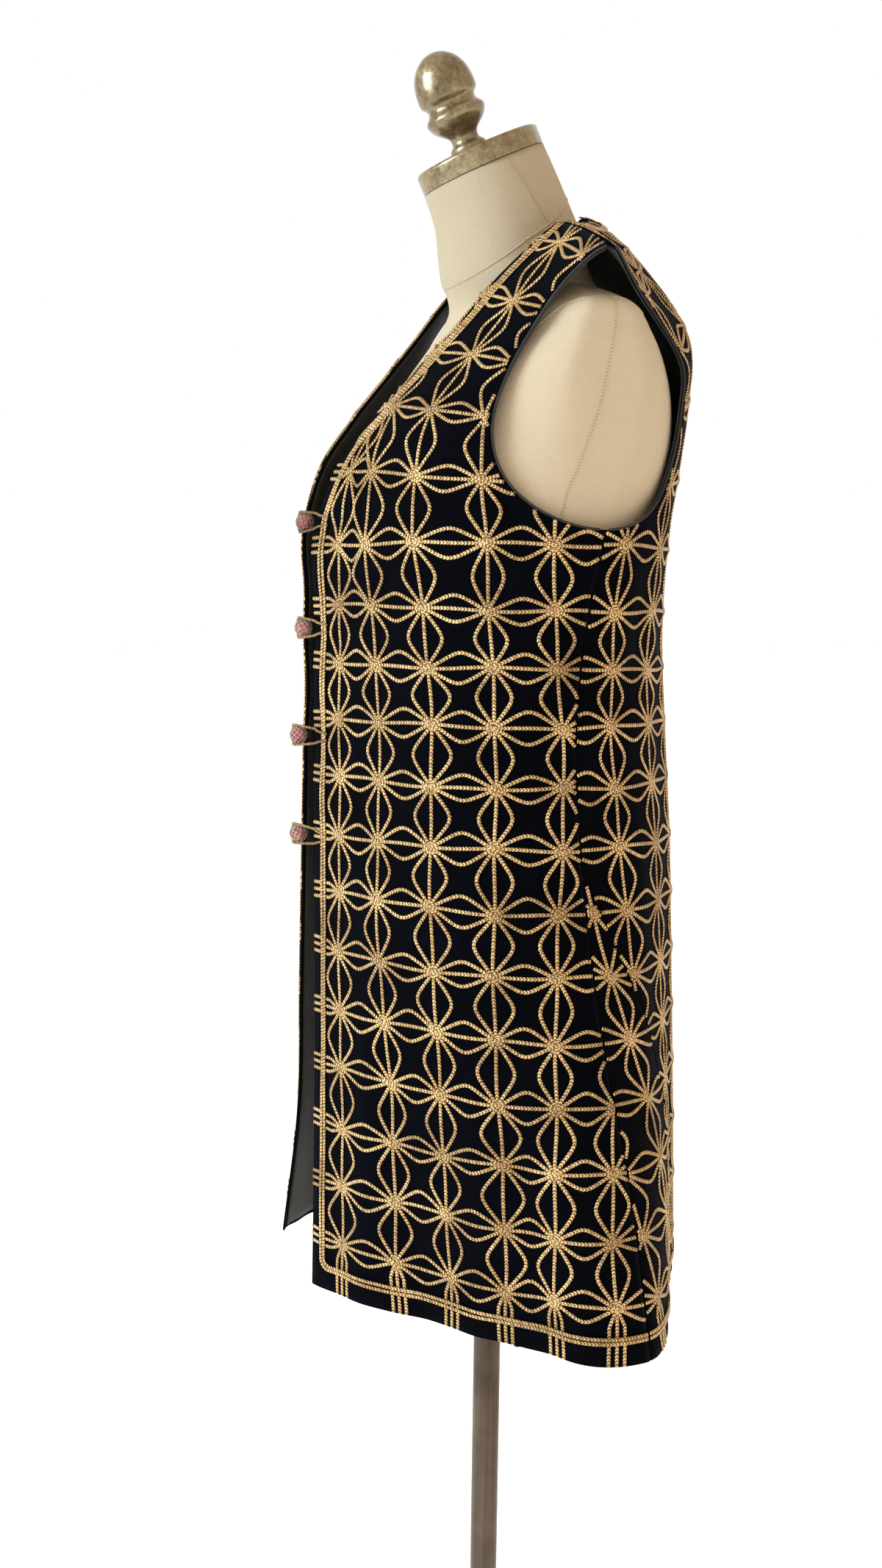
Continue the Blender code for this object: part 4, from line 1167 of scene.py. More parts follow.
def back_net(seed):
    paths = [cord for c in BACK_COLUMNS[1:-1] for cord in column_cords(c, seed)]
    for k in range(ROW_COUNT):
        paths += list(row_cords(k, BACK_COLUMNS, BACK_COLUMNS[0] + 0.001, BACK_COLUMNS[-1], seed, False))
    return lay(paths, back_room, back_around, GRID_LIFT)


def gore_net(side, seed):
    """The gore's columns run beside its own centre line, so they meet the seams in chevrons."""
    cords = [cord for offset in (-COLUMN_STEP, 0.0, COLUMN_STEP) for cord in column_cords(offset, seed)]
    nodes = [COLUMN_STEP * j for j in range(-2, 3)]
    for k in range(GORE_ROWS):
        cords += row_cords(k, nodes, -0.1, 0.1, seed, False)
    paths = [(0.5 * gore_cut(level) + s, level, lift) for s, level, lift in cords]
    return lay(paths, gore_room, lambda s, v: gore_around(side, s, v), GRID_LIFT)


def couch(name, runs, *nodes):
    """One piece of gold cords that rides with the vest."""
    made = ribbons(name, runs, CORD_WIDTH, CORD_THICKNESS, gold_braid)
    return finish_piece(made, "form", "gold_braid", *nodes)


for side, word, seed in ((LEFT, "left", 0.4), (RIGHT, "right", 2.9)):
    couch(f"gold_grid_front_{word}", front_net(side, seed))
    couch(f"gold_grid_gore_{word}", gore_net(side, seed + 1.1))
couch("gold_grid_back", back_net(5.3))

# %% [markdown]
# ## The braid along the edges
# Two of the same cords lie side by side around the V neck, down the front edge, round the bottom corner
# and along the hem, over the ends of the grid. A third joins them on the way up to the shoulder. The
# corner is a small arc, so that the cords turn without a kink.

# %% Edge braids
BRAID_LIFT = 0.0011
CORNER_RADIUS = 0.006


def edge_path(side, offset):
    """Places of a cord a given distance inside the V neck, the front edge and the hem."""
    from_edge = BRAID_FROM_EDGE + 0.5 * BRAID_PITCH + offset
    from_hem = BRAID_FROM_HEM + 0.5 * BRAID_PITCH + offset
    radius = CORNER_RADIUS + BRAID_PITCH - offset
    level = np.arange(SHOULDER - SHOULDER_GAP, from_hem + radius, -PATH_STEP)
    s = neck_cut(level) + from_edge + waver(level, side + offset * 300.0) * 0.35
    turn = np.linspace(0.0, 0.5 * math.pi, 8)[1:-1]
    corner_s = from_edge + radius * (1.0 - np.cos(turn))
    corner_level = from_hem + radius * (1.0 - np.sin(turn))
    hem_s = np.arange(from_edge + radius, 0.335, PATH_STEP)
    hem_level = from_hem + waver(hem_s, side + offset * 200.0) * 0.35
    return np.concatenate((s, corner_s, hem_s)), np.concatenate((level, corner_level, hem_level))


def extra_path():
    """The third cord, which slips out from under the second one above the bust."""
    level = np.arange(SHOULDER - SHOULDER_GAP, UNDERARM + 0.055, -PATH_STEP)
    out = np.clip((level - UNDERARM - 0.055) / 0.10, 0.0, 1.0)
    out = out * out * (3.0 - 2.0 * out)
    return neck_cut(level) + BRAID_FROM_EDGE + BRAID_PITCH * (1.5 + out), level


for side, word in ((LEFT, "left"), (RIGHT, "right")):
    paths = []
    for offset in (0.0, BRAID_PITCH):
        s, level = edge_path(side, offset)
        paths.append((s, level, np.zeros_like(s)))
    s, level = extra_path()
    paths.append((s, level, np.full_like(s, -0.0004)))
    runs = lay(paths, front_room(side), lambda s, v: front_around(side, s, v), BRAID_LIFT)
    couch(f"edge_cords_{word}", runs, f"edge_braid_{word}")
    s = np.arange(0.0, GORE_WIDTH, PATH_STEP)
    paths = [(s, np.full_like(s, BRAID_FROM_HEM + (0.5 + n) * BRAID_PITCH), 0 * s) for n in (0, 1)]
    runs = lay(paths, gore_room, lambda s, v: gore_around(side, s, v), BRAID_LIFT)
    couch(f"gore_hem_cords_{word}", runs, f"gore_braid_{word}")

s = np.arange(-0.24, 0.24, PATH_STEP)
paths = [(s, BRAID_FROM_HEM + (0.5 + n) * BRAID_PITCH + waver(s, n) * 0.35, 0 * s) for n in (0, 1)]
runs = lay(paths, back_room, back_around, BRAID_LIFT)
couch("back_hem_cords", runs, "hem_braid_back")

turn = np.linspace(-0.5 * math.pi, 0.5 * math.pi, 60)
paths = []
for n in (0, 1):
    out = 0.010 + (0.5 + n) * BRAID_PITCH
    level = SHOULDER - 0.0022 - (SHOULDER - BACK_NECK + out) * np.cos(turn)
    paths.append(((NECK_HALF_WIDTH + out) * np.sin(turn), level, 0 * turn))
runs = lay(paths, back_room, back_around, BRAID_LIFT)
couch("back_neck_cords", runs, "neck_braid_back")

# %% [markdown]
# ## Turned edges
# Velvet turned under at an edge makes a soft round bead. The armholes show a thin grey line instead,
# where the lining rolls to the outside. Each is a narrow round ribbon on the edge itself.

# %% Beads on the edges


def edge_bead(name, runs, size, finish, slot):
    return finish_piece(ribbons(name, runs, size, 0.75 * size, finish), "form", slot)


def bead_run(around, level, inset=0.0):
    points, normals = cloth_at(around, level)
    return points - inset * normals, normals, np.zeros(len(points))


for side, word in ((LEFT, "left"), (RIGHT, "right")):
    level = np.arange(0.0006, SHOULDER - 0.002, 0.005)
    edge = bead_run(front_around(side, neck_cut(level) + 0.0004, level), level, 0.0016)
    s = np.arange(0.0, 0.999, 0.012)
    wide = float(width_at(side, "front", 0.0))
    hem = bead_run(front_around(side, s * wide, np.full_like(s, 0.0004)), np.full_like(s, 0.0004), 0.0016)
    edge_bead(f"velvet_turned_edge_{word}", [edge, hem], 0.0026, velvet, "velvet")
    level = dense((UNDERARM + 0.0001, SHOULDER - 0.002, 90, 1.8))
    front = bead_run(front_around(side, front_limits(side, level)[1], level), level, 0.0012)
    reach = back_limits(side, level)[1]
    back = bead_run(back_around(side * reach, level), level, 0.0012)
    edge_bead(f"armhole_piping_{word}", [front, back], 0.0022, lining_cloth, "lining")
level = np.full(80, 0.0004)
s = np.linspace(-1.0, 1.0, 80)
reach = np.where(s > 0, back_limits(LEFT, level)[1], back_limits(RIGHT, level)[1])
hem = bead_run(back_around(s * reach, level), level, 0.0016)
turn = np.linspace(-0.5 * math.pi, 0.5 * math.pi, 50)
level = SHOULDER - 0.0022 - (SHOULDER - BACK_NECK) * np.cos(turn)
neck = bead_run(back_around(NECK_HALF_WIDTH * np.sin(turn), level), level, 0.0016)
edge_bead("velvet_turned_edge_back", [hem, neck], 0.0026, velvet, "velvet")

# %% [markdown]
# ## The ball buttons
# Each button is a small red core under a net of silver-gold thread. One is modelled by hand: a sphere
# whose alternate meridians are drawn in, so that it has the lobes of a tightly bound ball. It is then
# copied to the other places, each copy with its own mesh. The net is two sets of spirals from pole to
# pole, one winding each way.

# %% Model one ball
BUTTON_RADIUS = 0.0072
BALL_SEGMENTS = 32
# how much further forward than the first fastening each ball has worked itself
HANG_FORWARD = (0.0, 0.001, 0.005, 0.004)


def select_points(piece, wanted):
    """Selects a mesh's points by a test on their place, leaving edit mode as it was found."""
    bpy.ops.object.mode_set(mode="OBJECT")
    for vertex in piece.data.vertices:
        vertex.select = wanted(vertex.co)
    bpy.ops.object.mode_set(mode="EDIT")


def edit(piece):
    only(piece)
    bpy.ops.object.mode_set(mode="EDIT")
    bpy.ops.mesh.select_mode(type="VERT")


bpy.ops.object.select_all(action="DESELECT")
bpy.ops.mesh.primitive_uv_sphere_add(segments=BALL_SEGMENTS, ring_count=18, radius=BUTTON_RADIUS * 0.95)
ball = bpy.context.object
edit(ball)
lobe = 2.0 * math.pi / (BALL_SEGMENTS // 4)
select_points(ball, lambda co: abs((math.atan2(co.y, co.x) / lobe) % 1.0 - 0.5) > 0.44)
bpy.ops.transform.resize(value=(0.955, 0.955, 1.0))
bpy.ops.object.mode_set(mode="OBJECT")
apply_modifier(ball, "SUBSURF", levels=1, render_levels=1)


def button_core_finish():
    made, tree, shader = new_finish("button_core", 0.62, specular=0.3)
    where = place_of(tree)
    thread = noise(tree, where, 900.0, 3.0, 0.7)
    patch = noise(tree, where, 130.0, 3.0, 0.6)
    colour = ramp(tree, patch, (0.38, (0.36, 0.030, 0.075)), (0.50, (0.62, 0.10, 0.20)),
                  (0.66, (0.78, 0.34, 0.42)))
    tree.links.new(colour, shader.inputs["Base Color"])
    bump(tree, shader, thread, 0.0004)
    return made


def ball_lean(number):
    """Each ball has rolled its own way on its shank."""
    return Matrix.Rotation(0.35 * number - 0.9, 4, "X") @ Matrix.Rotation(0.8 * number, 4, "Z")


core_finish = button_core_finish()
centres = []
for number in (1, 2, 3, 4):
    low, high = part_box(f"button_{number}")
    centre = 0.5 * (low + high) + Vector((0.0, -HANG_FORWARD[number - 1], 0.0))
    centres.append(centre)
    core = ball.copy()
    core.data = ball.data.copy()
    core.name = f"button_core_{number}"
    core.data.materials.clear()
    core.data.materials.append(core_finish)
    lean = ball_lean(number)
    core.data.transform(Matrix.Translation(centre) @ lean)
    core.data.shade_smooth()
    bpy.context.scene.collection.objects.link(core)
    finish_piece(core, "form", "button_ball", f"button_{number}")
bpy.data.objects.remove(ball)
print("buttons at", [tuple(round(v, 4) for v in c) for c in centres])

# %% Net the balls
THREAD = 0.00062
NET_SPIRALS = 9


def net_run(centre, lean, start, winds):
    rise = np.linspace(-1.42, 1.42, 26)
    angle = start + winds * (rise + 1.42)
    out = np.stack((np.cos(rise) * np.cos(angle), np.cos(rise) * np.sin(angle), np.sin(rise)), axis=1)
    out = out @ np.array(lean.to_3x3()).T
    return np.array(centre) + out * (BUTTON_RADIUS * 0.955), out, np.zeros(len(rise))


runs = []
for number, centre in enumerate(centres, 1):
    lean = ball_lean(number)
    for k in range(NET_SPIRALS):
        for winds in (1.15, -1.15):
            runs.append(net_run(centre, lean, 2.0 * math.pi * k / NET_SPIRALS, winds))
nets_on_balls = ribbons("button_thread_nets", runs, THREAD * 1.5, THREAD, silver_gold_thread)
finish_piece(nets_on_balls, "form", "gold_braid")

# %% [markdown]
# ## Loops and shanks
# A loop is a plaited cord that starts flat on the left front, leaves its edge, goes round the ball and
# comes back. It is drawn through a few points on a smooth curve. The shank is a thread from the ball to
# the right front's edge.

# %% Loops and shanks
LOOP_RADIUS = 0.0011
LOOP_FORWARD = 0.0032
FASTENING_GAP = 0.0004
FASTENING_STEP = 0.0012
BUTTON_LEVELS = (0.615, 0.533, 0.4475, 0.368)


def smooth_path(points, step):
    """A smooth curve through points, as points a step apart."""
    points = np.array(points, float)
    ends = np.concatenate((2 * points[:1] - points[1:2], points, 2 * points[-1:] - points[-2:-1]))
    made = []
    for a, b, c, d in zip(ends, ends[1:], ends[2:], ends[3:]):
        n = max(2, int(np.linalg.norm(c - b) / step))
        t = (np.arange(n) / n)[:, None]
        curve = 2 * b + (c - a) * t + (2 * a - 5 * b + 4 * c - d) * t**2
        made.append(0.5 * (curve + (3 * b - a - 3 * c + d) * t**3))
    return np.concatenate([*made, points[-1:]])


def facing_run(points):
    """A cord's run whose flat side faces the front."""
    path = smooth_path(points, FASTENING_STEP)
    return path, np.tile((0.0, -1.0, 0.0), (len(path), 1)), np.zeros(len(path))


loops = []
shanks = []
for centre, level in zip(centres, BUTTON_LEVELS):
    around = math.sqrt((BUTTON_RADIUS + LOOP_RADIUS + FASTENING_GAP) ** 2 - LOOP_FORWARD**2)
    middle = np.array(centre) - np.array((0.0, LOOP_FORWARD - LOOP_RADIUS, 0.0))
    turn = np.linspace(0.0, math.pi, 9)
    bend = middle + around * np.stack((-np.sin(turn), 0 * turn, np.cos(turn)), axis=1)
    ends = []
    for sign in (1.0, -1.0):
        s = np.array((0.0175, 0.0120, 0.0065, 0.0012))
        height = level + sign * np.array((0.0028, 0.0036, 0.0046, 0.0060))
        points, normals = cloth_at(front_around(LEFT, s, height), height)
        ends.append(points + normals * np.array((0.0001, 0.0012, 0.0014, 0.0012))[:, None])
    loops.append(facing_run([*ends[0], *bend, *ends[1][::-1]]))
    s = np.array((0.0, 0.0035, 0.0080))
    points, normals = cloth_at(front_around(RIGHT, s, np.full(3, level)), np.full(3, level))
    inner = np.array(centre) + np.array((-BUTTON_RADIUS * 0.9, 0.0012, 0.0))
    shanks.append(facing_run([inner, *(points + 0.0006 * normals)]))
made = ribbons("button_loops", loops, 2 * LOOP_RADIUS, 2 * LOOP_RADIUS, brown_gold_cord, ROUND_SECTION)
finish_piece(made, "form", "gold_braid", *[f"loop_{n}" for n in (1, 2, 3, 4)])
made = ribbons("button_shanks", shanks, 0.0024, 0.0022, silver_gold_thread, ROUND_SECTION)
finish_piece(made, "form", "gold_braid", *[f"shank_{n}" for n in (1, 2, 3, 4)])

# %% [markdown]
# ## The padded form
# The torso is stuffed and covered in linen, smooth and firm, with a flat plate where each arm would be
# and a neck that leans forward. It is lofted through the rings of the same table as the CAD solid, with
# many more rings between them and many more points round each one. The table's columns are the height,
# the half width, the front and back depth, the plate's front and back edges, how full the front and back
# curves are, and the tilt.

# %% Torso rings
FORM = (
    (0.800, 0.138, -0.100, 0.100, 0.000, 0.000, 2.25, 2.25, 0),
    (0.806, 0.146, -0.108, 0.108, 0.000, 0.000, 2.25, 2.25, 0),
    (0.870, 0.152, -0.118, 0.116, -0.001, -0.001, 2.25, 2.25, 0),
    (0.930, 0.143, -0.112, 0.108, -0.002, -0.002, 2.25, 2.25, 0),
    (0.990, 0.127, -0.103, 0.094, -0.004, -0.004, 2.25, 2.25, 0),
    (1.050, 0.132, -0.116, 0.096, -0.008, -0.006, 2.25, 2.25, 0),
    (1.110, 0.147, -0.134, 0.104, -0.004, 0.006, 2.10, 2.20, 0),
    (1.150, 0.157, -0.140, 0.110, 0.005, 0.018, 2.00, 2.00, 0),
    (1.190, 0.158, -0.126, 0.119, 0.000, 0.036, 2.00, 2.00, 0),
    (1.230, 0.158, -0.104, 0.128, -0.004, 0.048, 1.80, 1.80, 0),
    (1.270, 0.158, -0.080, 0.125, -0.006, 0.052, 1.60, 1.60, 0),
    (1.300, 0.156, -0.060, 0.117, 0.003, 0.047, 1.40, 1.40, 0),
    (1.318, 0.149, -0.047, 0.102, 0.009, 0.040, 1.40, 1.40, 0),
    (1.332, 0.116, -0.047, 0.089, 0.012, 0.034, 1.20, 1.40, 1),
    (1.345, 0.072, -0.049, 0.080, 0.010, 0.018, 1.50, 1.80, 3),
    (1.358, 0.0585, -0.052, 0.072, 0.006, 0.006, 2.00, 2.00, 5),
    (1.378, 0.0535, -0.055, 0.067, -0.002, -0.002, 2.10, 2.10, 9),
    (1.410, 0.0505, -0.060, 0.051, -0.009, -0.009, 2.10, 2.10, 15),
    (1.442, 0.0505, -0.072, 0.032, -0.020, -0.020, 2.10, 2.10, 25.4),
)
FORM_BOTTOM = FORM[0][0]
FORM_TOP = FORM[-1][0]
TORSO_SEGMENTS = 152


def torso_ring(height, angle):
    half, front, back, plate_front, plate_back, full_front, full_back, tilt = table_at(FORM, height)
    across = np.cos(angle)
    along = np.sin(angle)
    behind = along > 0
    edge = np.where(behind, plate_back, plate_front)
    reach = np.where(behind, back, front)
    full = np.where(behind, full_back, full_front)
    x = half * np.sign(across) * np.abs(across) ** (2.0 / full)
    y = edge + (reach - edge) * np.abs(along) ** (2.0 / full)
    middle = 0.5 * (front + back)
    lean = math.radians(float(tilt))
    y -= middle
    return np.stack((x, middle + y * math.cos(lean), height + y * math.sin(lean)), axis=1)


def torso_row(height):
    """One ring, from the front centre round by the left and back to it, as points evenly spaced along it."""
    turn = np.linspace(-0.5 * math.pi, 1.5 * math.pi, 961)
    ring = torso_ring(height, turn)
    run = np.concatenate(([0.0], np.cumsum(np.linalg.norm(np.diff(ring, axis=0), axis=1))))
    places = np.linspace(0.0, run[-1], TORSO_SEGMENTS + 1)
    return np.stack([np.interp(places, run, ring[:, k]) for k in range(3)], axis=1)


TORSO_HEIGHTS = dense((FORM_BOTTOM, 0.806, 5, 1.0), (0.806, 1.29, 62, 1.0), (1.29, 1.36, 36, 1.0),
                      (1.36, FORM_TOP, 20, 1.0))
torso_rows = [torso_row(height) for height in TORSO_HEIGHTS]
print("torso rings", len(torso_rows))

# %% Close the torso and cover it
SOCKET_RADIUS = 0.0097
SOCKET_TOP = 0.8802
# how far from its middle to its edge each ring of the underside and of the neck's top is
UNDERSIDE_SHARES = (0.35, 0.70, 0.94)
LID_SHARES = (0.90, 0.40, 0.02)


def torso_piece():
    """The rings, with a flat underside that leaves the pole's socket open, and a closed neck top."""
    turn = np.linspace(-0.5 * math.pi, 1.5 * math.pi, TORSO_SEGMENTS + 1)
    round_hole = (SOCKET_RADIUS * np.cos(turn), SOCKET_RADIUS * np.sin(turn), 0 * turn + FORM_BOTTOM)
    hole = np.stack(round_hole, axis=1)
    under = [hole + (torso_rows[0] - hole) * share for share in UNDERSIDE_SHARES]
    socket = hole + np.array((0.0, 0.0, SOCKET_TOP - FORM_BOTTOM))
    top = torso_rows[-1]
    middle = top[:-1].mean(axis=0)
    lid = [middle + (top - middle) * share for share in LID_SHARES]
    rings = [socket * np.array((0.02, 0.02, 1.0)), socket, hole, *under, *torso_rows, *lid]
    vertices = np.concatenate(rings)
    around = np.tile(np.linspace(0.0, 0.85, TORSO_SEGMENTS + 1), len(rings))
    uvs = np.stack((around, vertices[:, 2]), axis=1)
    piece = new_piece("linen_torso", vertices, grid_faces(len(rings), TORSO_SEGMENTS + 1), uvs, linen)
    edit(piece)
    bpy.ops.mesh.select_all(action="SELECT")
    bpy.ops.mesh.remove_doubles(threshold=0.000002)
    bpy.ops.mesh.fill_holes(sides=0)
    bpy.ops.object.mode_set(mode="OBJECT")
    return piece


torso = finish_piece(torso_piece(), "form", "linen", "form_body")

# %% [markdown]
# ## Seams of the cover
# The cover is sewn from panels. Its seams show as thin stitched lines: one round the base of the neck,
# one down each side of the neck, one along the top of each arm plate and one down each side. Each is a
# very thin ribbon on the torso. On the neck a place is an angle round it and a height. On the sides it is
# a depth and a height, because the arm plate is flat there.

# %% Seams
SEAM_WIDTH = 0.0013
SEAM_THICKNESS = 0.0004
# height and depth of the places each side seam and each plate seam goes through
SIDE_SEAM = ((1.3225, 0.029), (1.299, 0.027), (1.268, 0.021), (1.236, 0.014), (1.200, 0.001), (1.154, -0.014),
             (1.060, -0.010), (0.930, 0.0), (0.806, 0.0))
PLATE_SEAM = ((1.300, -0.022), (1.315, -0.006), (1.3205, 0.013), (1.3225, 0.029), (1.3205, 0.044),
              (1.312, 0.060))


def neck_place(angle, height):
    return torso_ring(height, np.array([angle]))[0]


def side_place(height, depth):
    """The place on the left side at a height and depth."""
    row = torso_row(height)[: TORSO_SEGMENTS // 2 + 1]
    return np.array([np.interp(depth, row[:, 1], row[:, 0]), depth, height])


def side_line(places):
    """A line down the left side, read closely enough to lie on the torso all the way."""
    route = smooth_path([(height, depth, 0.0) for height, depth in places], 0.003)
    return [side_place(height, depth) for height, depth, _ in route]


def torso_seam(points):
    points = smooth_path(points, 0.004)
    middle = np.array((0.0, 0.01, 0.0))
    outward = (points - middle) * np.array((1.0, 0.6, 0.0))
    outward[:, 2] += 0.02 + 0.6 * np.clip(points[:, 2] - 1.312, 0.0, 0.012) * 10.0
    return points, outward / np.linalg.norm(outward, axis=1)[:, None], np.full(len(points), 0.0001)


runs = []
turn = np.linspace(0.0, 2.0 * math.pi, 49)
runs.append(torso_seam([neck_place(t, 1.380 + 0.031 * math.sin(t)) for t in turn]))
for sign in (1.0, -1.0):
    heights = np.linspace(FORM_TOP - 0.001, 1.384, 12)
    lines = [[neck_place(0.36 * (FORM_TOP - h) / 0.057, h) for h in heights],
             side_line(SIDE_SEAM), side_line(PLATE_SEAM)]
    for line in lines:
        runs.append(torso_seam(np.array(line) * np.array((sign, 1.0, 1.0))))
made = ribbons("linen_seams", runs, SEAM_WIDTH, SEAM_THICKNESS, seam_thread)
finish_piece(made, "form", "linen")

# %% [markdown]
# ## Cap and finial
# The neck is closed by a turned wooden cap in an antiqued metal finish, with an acorn finial on it. Both
# are turned work: a circle is extruded upwards and resized step by step along a profile, as a turner
# would cut it, then set on the neck's slope.

# %% Turn the cap and finial
CAP_RADIUS = 0.0525
CAP_THICKNESS = 0.0165
CAP_TILT = 25.4
CAP_GAP = 0.0003
FINIAL_FORWARD = 0.005
SEAT = Vector((0.0, -0.020, FORM_TOP))
FINIAL = (
    (0.0150, 0.0000),
    (0.0150, 0.0050),
    (0.0115, 0.0090),
    (0.0125, 0.0150),
    (0.0205, 0.0220),
    (0.0245, 0.0280),
    (0.0245, 0.0320),
    (0.0205, 0.0370),
    (0.0205, 0.0410),
    (0.0240, 0.0450),
    (0.0245, 0.0510),
    (0.0236, 0.0590),
    (0.0210, 0.0670),
    (0.0160, 0.0740),
    (0.0090, 0.0790),
    (0.0030, 0.0808),
)


def smooth_profile(profile, step):
    path = smooth_path([(radius, 0.0, height) for radius, height in profile], step)
    return [(max(0.0004, radius), height) for radius, _, height in path]


def turn_profile(name, profile, segments, place, finish):
    """A turned solid: a disc, then one extrusion and one resize for each step of the profile, and a cap."""
    bpy.ops.object.select_all(action="DESELECT")
    radius, height = profile[0]
    bpy.ops.mesh.primitive_circle_add(vertices=segments, radius=radius, fill_type="NGON",
                                      location=(0, 0, height))
    piece = bpy.context.object
    piece.name = name
    bpy.ops.object.transform_apply(location=True)
    edit(piece)
    bpy.ops.mesh.select_mode(type="FACE")
    bpy.ops.mesh.select_all(action="SELECT")
    bpy.ops.mesh.flip_normals()
    bpy.ops.mesh.select_mode(type="EDGE")
    bpy.ops.mesh.select_all(action="SELECT")
    for wide, high in profile[1:]:
        bpy.ops.mesh.extrude_edges_move(TRANSFORM_OT_translate={"value": (0.0, 0.0, high - height)})
        bpy.ops.transform.resize(value=(wide / radius, wide / radius, 1.0), center_override=(0.0, 0.0, high))
        radius, height = wide, high
    bpy.ops.mesh.edge_face_add()
    bpy.ops.mesh.select_all(action="SELECT")
    bpy.ops.mesh.normals_make_consistent(inside=False)
    bpy.ops.object.mode_set(mode="OBJECT")
    piece.data.transform(place)
    piece.data.materials.append(finish)
    bpy.ops.object.shade_smooth_by_angle(angle=math.radians(40.0))
    return piece


rim = 0.0032
tilted = Matrix.Translation(SEAT) @ Matrix.Rotation(math.radians(CAP_TILT), 4, "X")
cap_profile = [(CAP_RADIUS - 0.0015, 0.0), (CAP_RADIUS - 0.0004, 0.0004), (CAP_RADIUS, 0.0015)]
for turn in np.linspace(0.0, 0.5 * math.pi, 7):
    cap_profile.append((CAP_RADIUS - rim + rim * math.cos(turn), CAP_THICKNESS - rim + rim * math.sin(turn)))
cap_profile += [(CAP_RADIUS - 0.010, CAP_THICKNESS + 0.0002), (0.019, CAP_THICKNESS + 0.0003)]
cap = turn_profile("bronze_cap", cap_profile, 96, tilted @ Matrix.Translation((0, 0, CAP_GAP)), bronze)
finish_piece(cap, "form", "antiqued_bronze", "neck_cap")
home = tilted @ Matrix.Translation((0, -FINIAL_FORWARD, 2 * CAP_GAP + CAP_THICKNESS))
finial = turn_profile("bronze_finial", smooth_profile(FINIAL, 0.0016), 64, home, bronze)
finish_piece(finial, "form", "antiqued_bronze", "finial")
print("finial steps", len(smooth_profile(FINIAL, 0.0016)))

# %% [markdown]
# ## Pole, tube and base
# The form turns on an inner pole that slides in a tube. The tube stands in a cast hub on a round, weighted
# base. All are turned again. The tube is open at its top, where the inner pole goes in.

# %% Turn the stand
TUBE_RADIUS = 0.0118
TUBE_BORE = 0.0095
TUBE_TOP = 0.485
INNER_POLE_RADIUS = 0.0092
INNER_POLE_BOTTOM = 0.200
BASE_RADIUS = 0.175
BASE_HEIGHT = 0.022
HUB_RADIUS = 0.026
HUB_HEIGHT = 0.050
standing = Matrix.Identity(4)
tube_foot = HUB_HEIGHT - 0.030
tube_profile = [
    (TUBE_BORE - 0.0012, TUBE_TOP - 0.09),
    (TUBE_BORE, TUBE_TOP - 0.09),
    (TUBE_BORE, TUBE_TOP - 0.0006),
    (TUBE_BORE + 0.0005, TUBE_TOP),
    (TUBE_RADIUS - 0.0012, TUBE_TOP),
    (TUBE_RADIUS - 0.0004, TUBE_TOP - 0.0003),
    (TUBE_RADIUS, TUBE_TOP - 0.0012),
    (TUBE_RADIUS, tube_foot + 0.15),
    (TUBE_RADIUS, tube_foot),
]
tube = turn_profile("bronze_tube", tube_profile, 64, standing, steel)
finish_piece(tube, "stand", "bronze_steel", "stand_tube")
pole_top = FORM_BOTTOM + 0.080
pole_ease = 0.0008
pole_profile = [(INNER_POLE_RADIUS - pole_ease, INNER_POLE_BOTTOM)]
straight = (INNER_POLE_BOTTOM + pole_ease, 0.5, 0.7, pole_top - pole_ease)
pole_profile += [(INNER_POLE_RADIUS, high) for high in straight]
pole_profile += [(INNER_POLE_RADIUS - pole_ease, pole_top)]
pole = turn_profile("bronze_inner_pole", pole_profile, 64, standing, steel)
finish_piece(pole, "pole", "bronze_steel", "inner_pole")
inner = TUBE_RADIUS + 0.0003
# how far in from the base's rim and how far below its top each step of its domed face is
DOME = ((0.0, 0.015), (0.0012, 0.0118), (0.0045, 0.0096), (0.012, 0.0066), (0.030, 0.0050), (0.070, 0.0030))
base_profile = [(0.004, 0.0), (BASE_RADIUS - 0.002, 0.0), (BASE_RADIUS, 0.002)]
base_profile += [(BASE_RADIUS - inward, BASE_HEIGHT - below) for inward, below in DOME]
base_profile += [
    (HUB_RADIUS + 0.030, BASE_HEIGHT - 0.0014),
    (HUB_RADIUS + 0.004, BASE_HEIGHT),
    (HUB_RADIUS + 0.0012, BASE_HEIGHT + 0.0012),
    (HUB_RADIUS, BASE_HEIGHT + 0.004),
    (HUB_RADIUS, HUB_HEIGHT - 0.004),
    (HUB_RADIUS - 0.0012, HUB_HEIGHT - 0.0012),
    (HUB_RADIUS - 0.004, HUB_HEIGHT),
    (inner, HUB_HEIGHT),
    (inner, tube_foot - 0.0003),
]
base = turn_profile("iron_base", base_profile, 128, standing, iron)
finish_piece(base, "stand", "base_iron", "base")

# %% [markdown]
# ## The clamp
# A hexagonal nut is brazed to the tube and a thumbscrew passes through it, with a bar for the fingers and
# a ball at each end of the bar. The nut is a six-sided cylinder whose edges are eased, its bore inset and
# pushed in. The screw's thread is a row of fine ridges.

# %% Model the clamp
NUT_HEIGHT = 0.454
NUT_ACROSS = 0.0125
NUT_LENGTH = 0.0068
SCREW_DIRECTION = 57.4
SCREW_RADIUS = 0.0030
SCREW_LENGTH = 0.0220
BAR_HALF_LENGTH = 0.0160
BAR_TURN = 15.0
BALL_RADIUS = 0.0050
clamp_turn = Matrix.Rotation(math.radians(SCREW_DIRECTION), 4, "Z") @ Matrix.Rotation(0.5 * math.pi, 4, "Y")
clamp_place = Matrix.Translation((0.0, 0.0, NUT_HEIGHT)) @ clamp_turn
start = TUBE_RADIUS + 0.0003

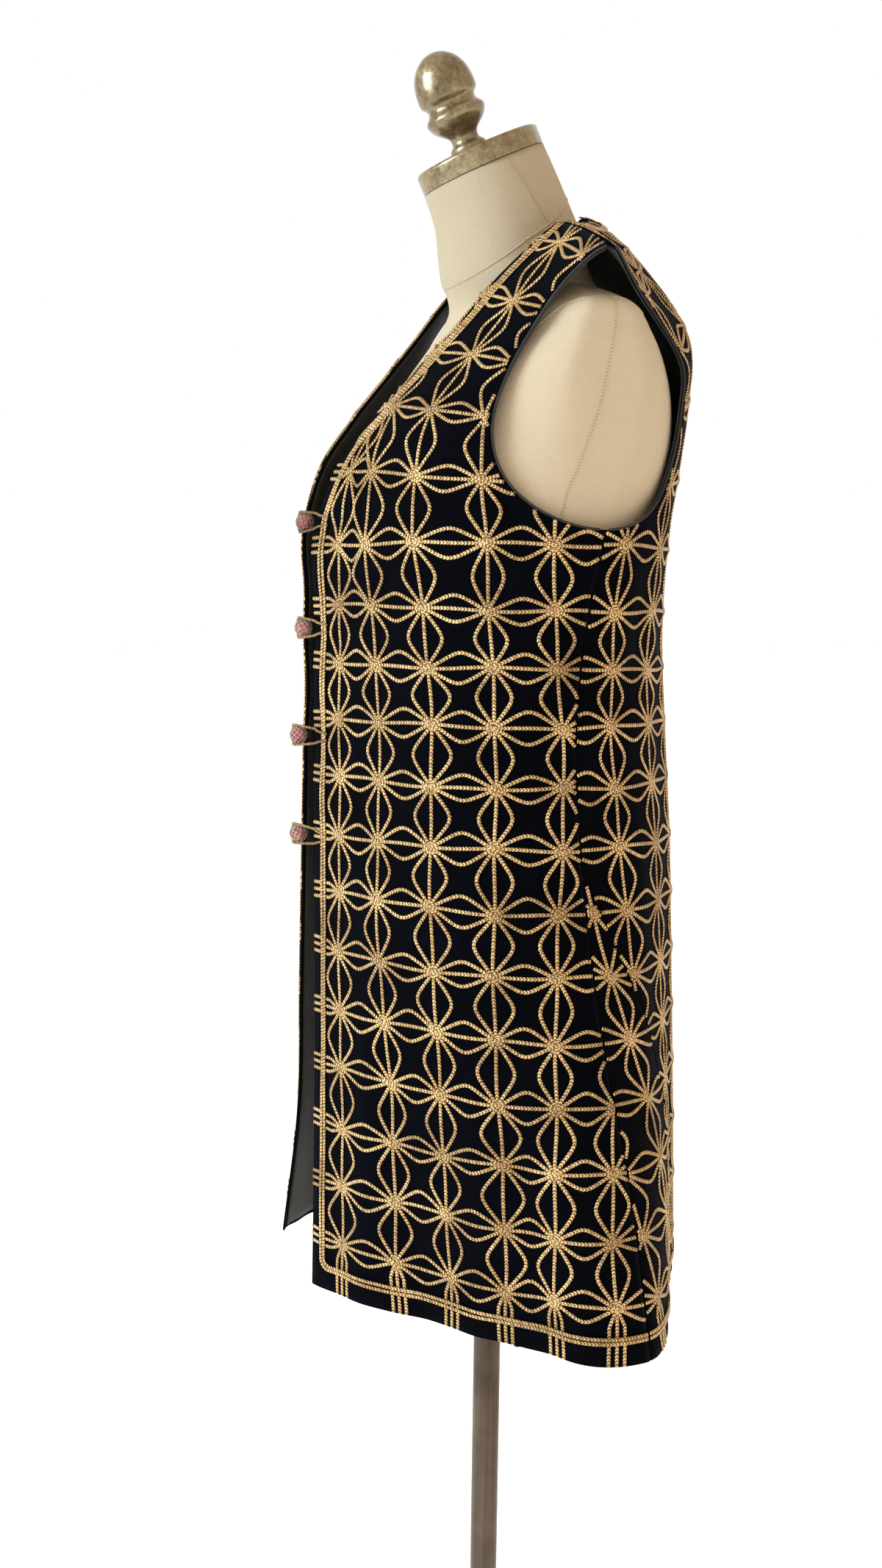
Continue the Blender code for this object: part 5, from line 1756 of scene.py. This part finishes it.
bpy.ops.object.select_all(action="DESELECT")
bpy.ops.mesh.primitive_cylinder_add(vertices=6, radius=NUT_ACROSS / math.sqrt(3), depth=NUT_LENGTH,
                                    location=(0, 0, start + NUT_LENGTH / 2))
nut = bpy.context.object
nut.name = "bronze_nut"
bpy.ops.object.transform_apply(location=True)
edit(nut)
bpy.ops.mesh.select_mode(type="FACE")
bpy.ops.mesh.select_all(action="DESELECT")
bpy.ops.object.mode_set(mode="OBJECT")
for face in nut.data.polygons:
    face.select = face.normal.z > 0.9
bpy.ops.object.mode_set(mode="EDIT")
bpy.ops.mesh.inset(thickness=0.0011)
bpy.ops.transform.translate(value=(0.0, 0.0, 0.0007))
bpy.ops.mesh.inset(thickness=0.0016)
bpy.ops.mesh.extrude_region_move(TRANSFORM_OT_translate={"value": (0.0, 0.0, -0.0030)})
bpy.ops.object.mode_set(mode="OBJECT")
apply_modifier(nut, "BEVEL", width=0.00035, segments=2, limit_method="ANGLE")
nut.data.transform(clamp_place)
nut.data.materials.append(steel)
bpy.ops.object.shade_smooth_by_angle(angle=math.radians(35.0))
finish_piece(nut, "stand", "bronze_steel", "clamp_nut")

screw_foot = start + 0.0003
screw_profile = [(SCREW_RADIUS - 0.0008, screw_foot), (SCREW_RADIUS - 0.0003, screw_foot + 0.0006)]
for ridge in range(11):
    foot = screw_foot + 0.0010 + 0.0010 * ridge
    screw_profile += [(SCREW_RADIUS, foot + 0.0003), (SCREW_RADIUS - 0.00035, foot + 0.0008)]
screw_profile += [(SCREW_RADIUS, screw_foot + 0.0130), (SCREW_RADIUS + 0.0004, screw_foot + 0.0150),
                  (SCREW_RADIUS + 0.0007, screw_foot + 0.0185), (SCREW_RADIUS, screw_foot + 0.0210),
                  (SCREW_RADIUS - 0.0012, screw_foot + 0.0219)]
screw = turn_profile("bronze_thumbscrew", screw_profile, 36, clamp_place, steel)
bar_place = (clamp_place @ Matrix.Translation((0.0, 0.0, start + SCREW_LENGTH - 0.0040))
             @ Matrix.Rotation(math.radians(BAR_TURN), 4, "Z") @ Matrix.Rotation(0.5 * math.pi, 4, "X"))
half = BAR_HALF_LENGTH
knob = [(BALL_RADIUS * math.sin(t), half - BALL_RADIUS * math.cos(t)) for t in np.linspace(0.36, 2.98, 16)]
bar_profile = [(radius, -height) for radius, height in reversed(knob)] + knob
bar = turn_profile("bronze_bar", bar_profile, 32, bar_place, steel)
only(screw)
bar.select_set(True)
bpy.ops.object.join()
finish_piece(screw, "clamp", "bronze_steel", "clamp_screw")
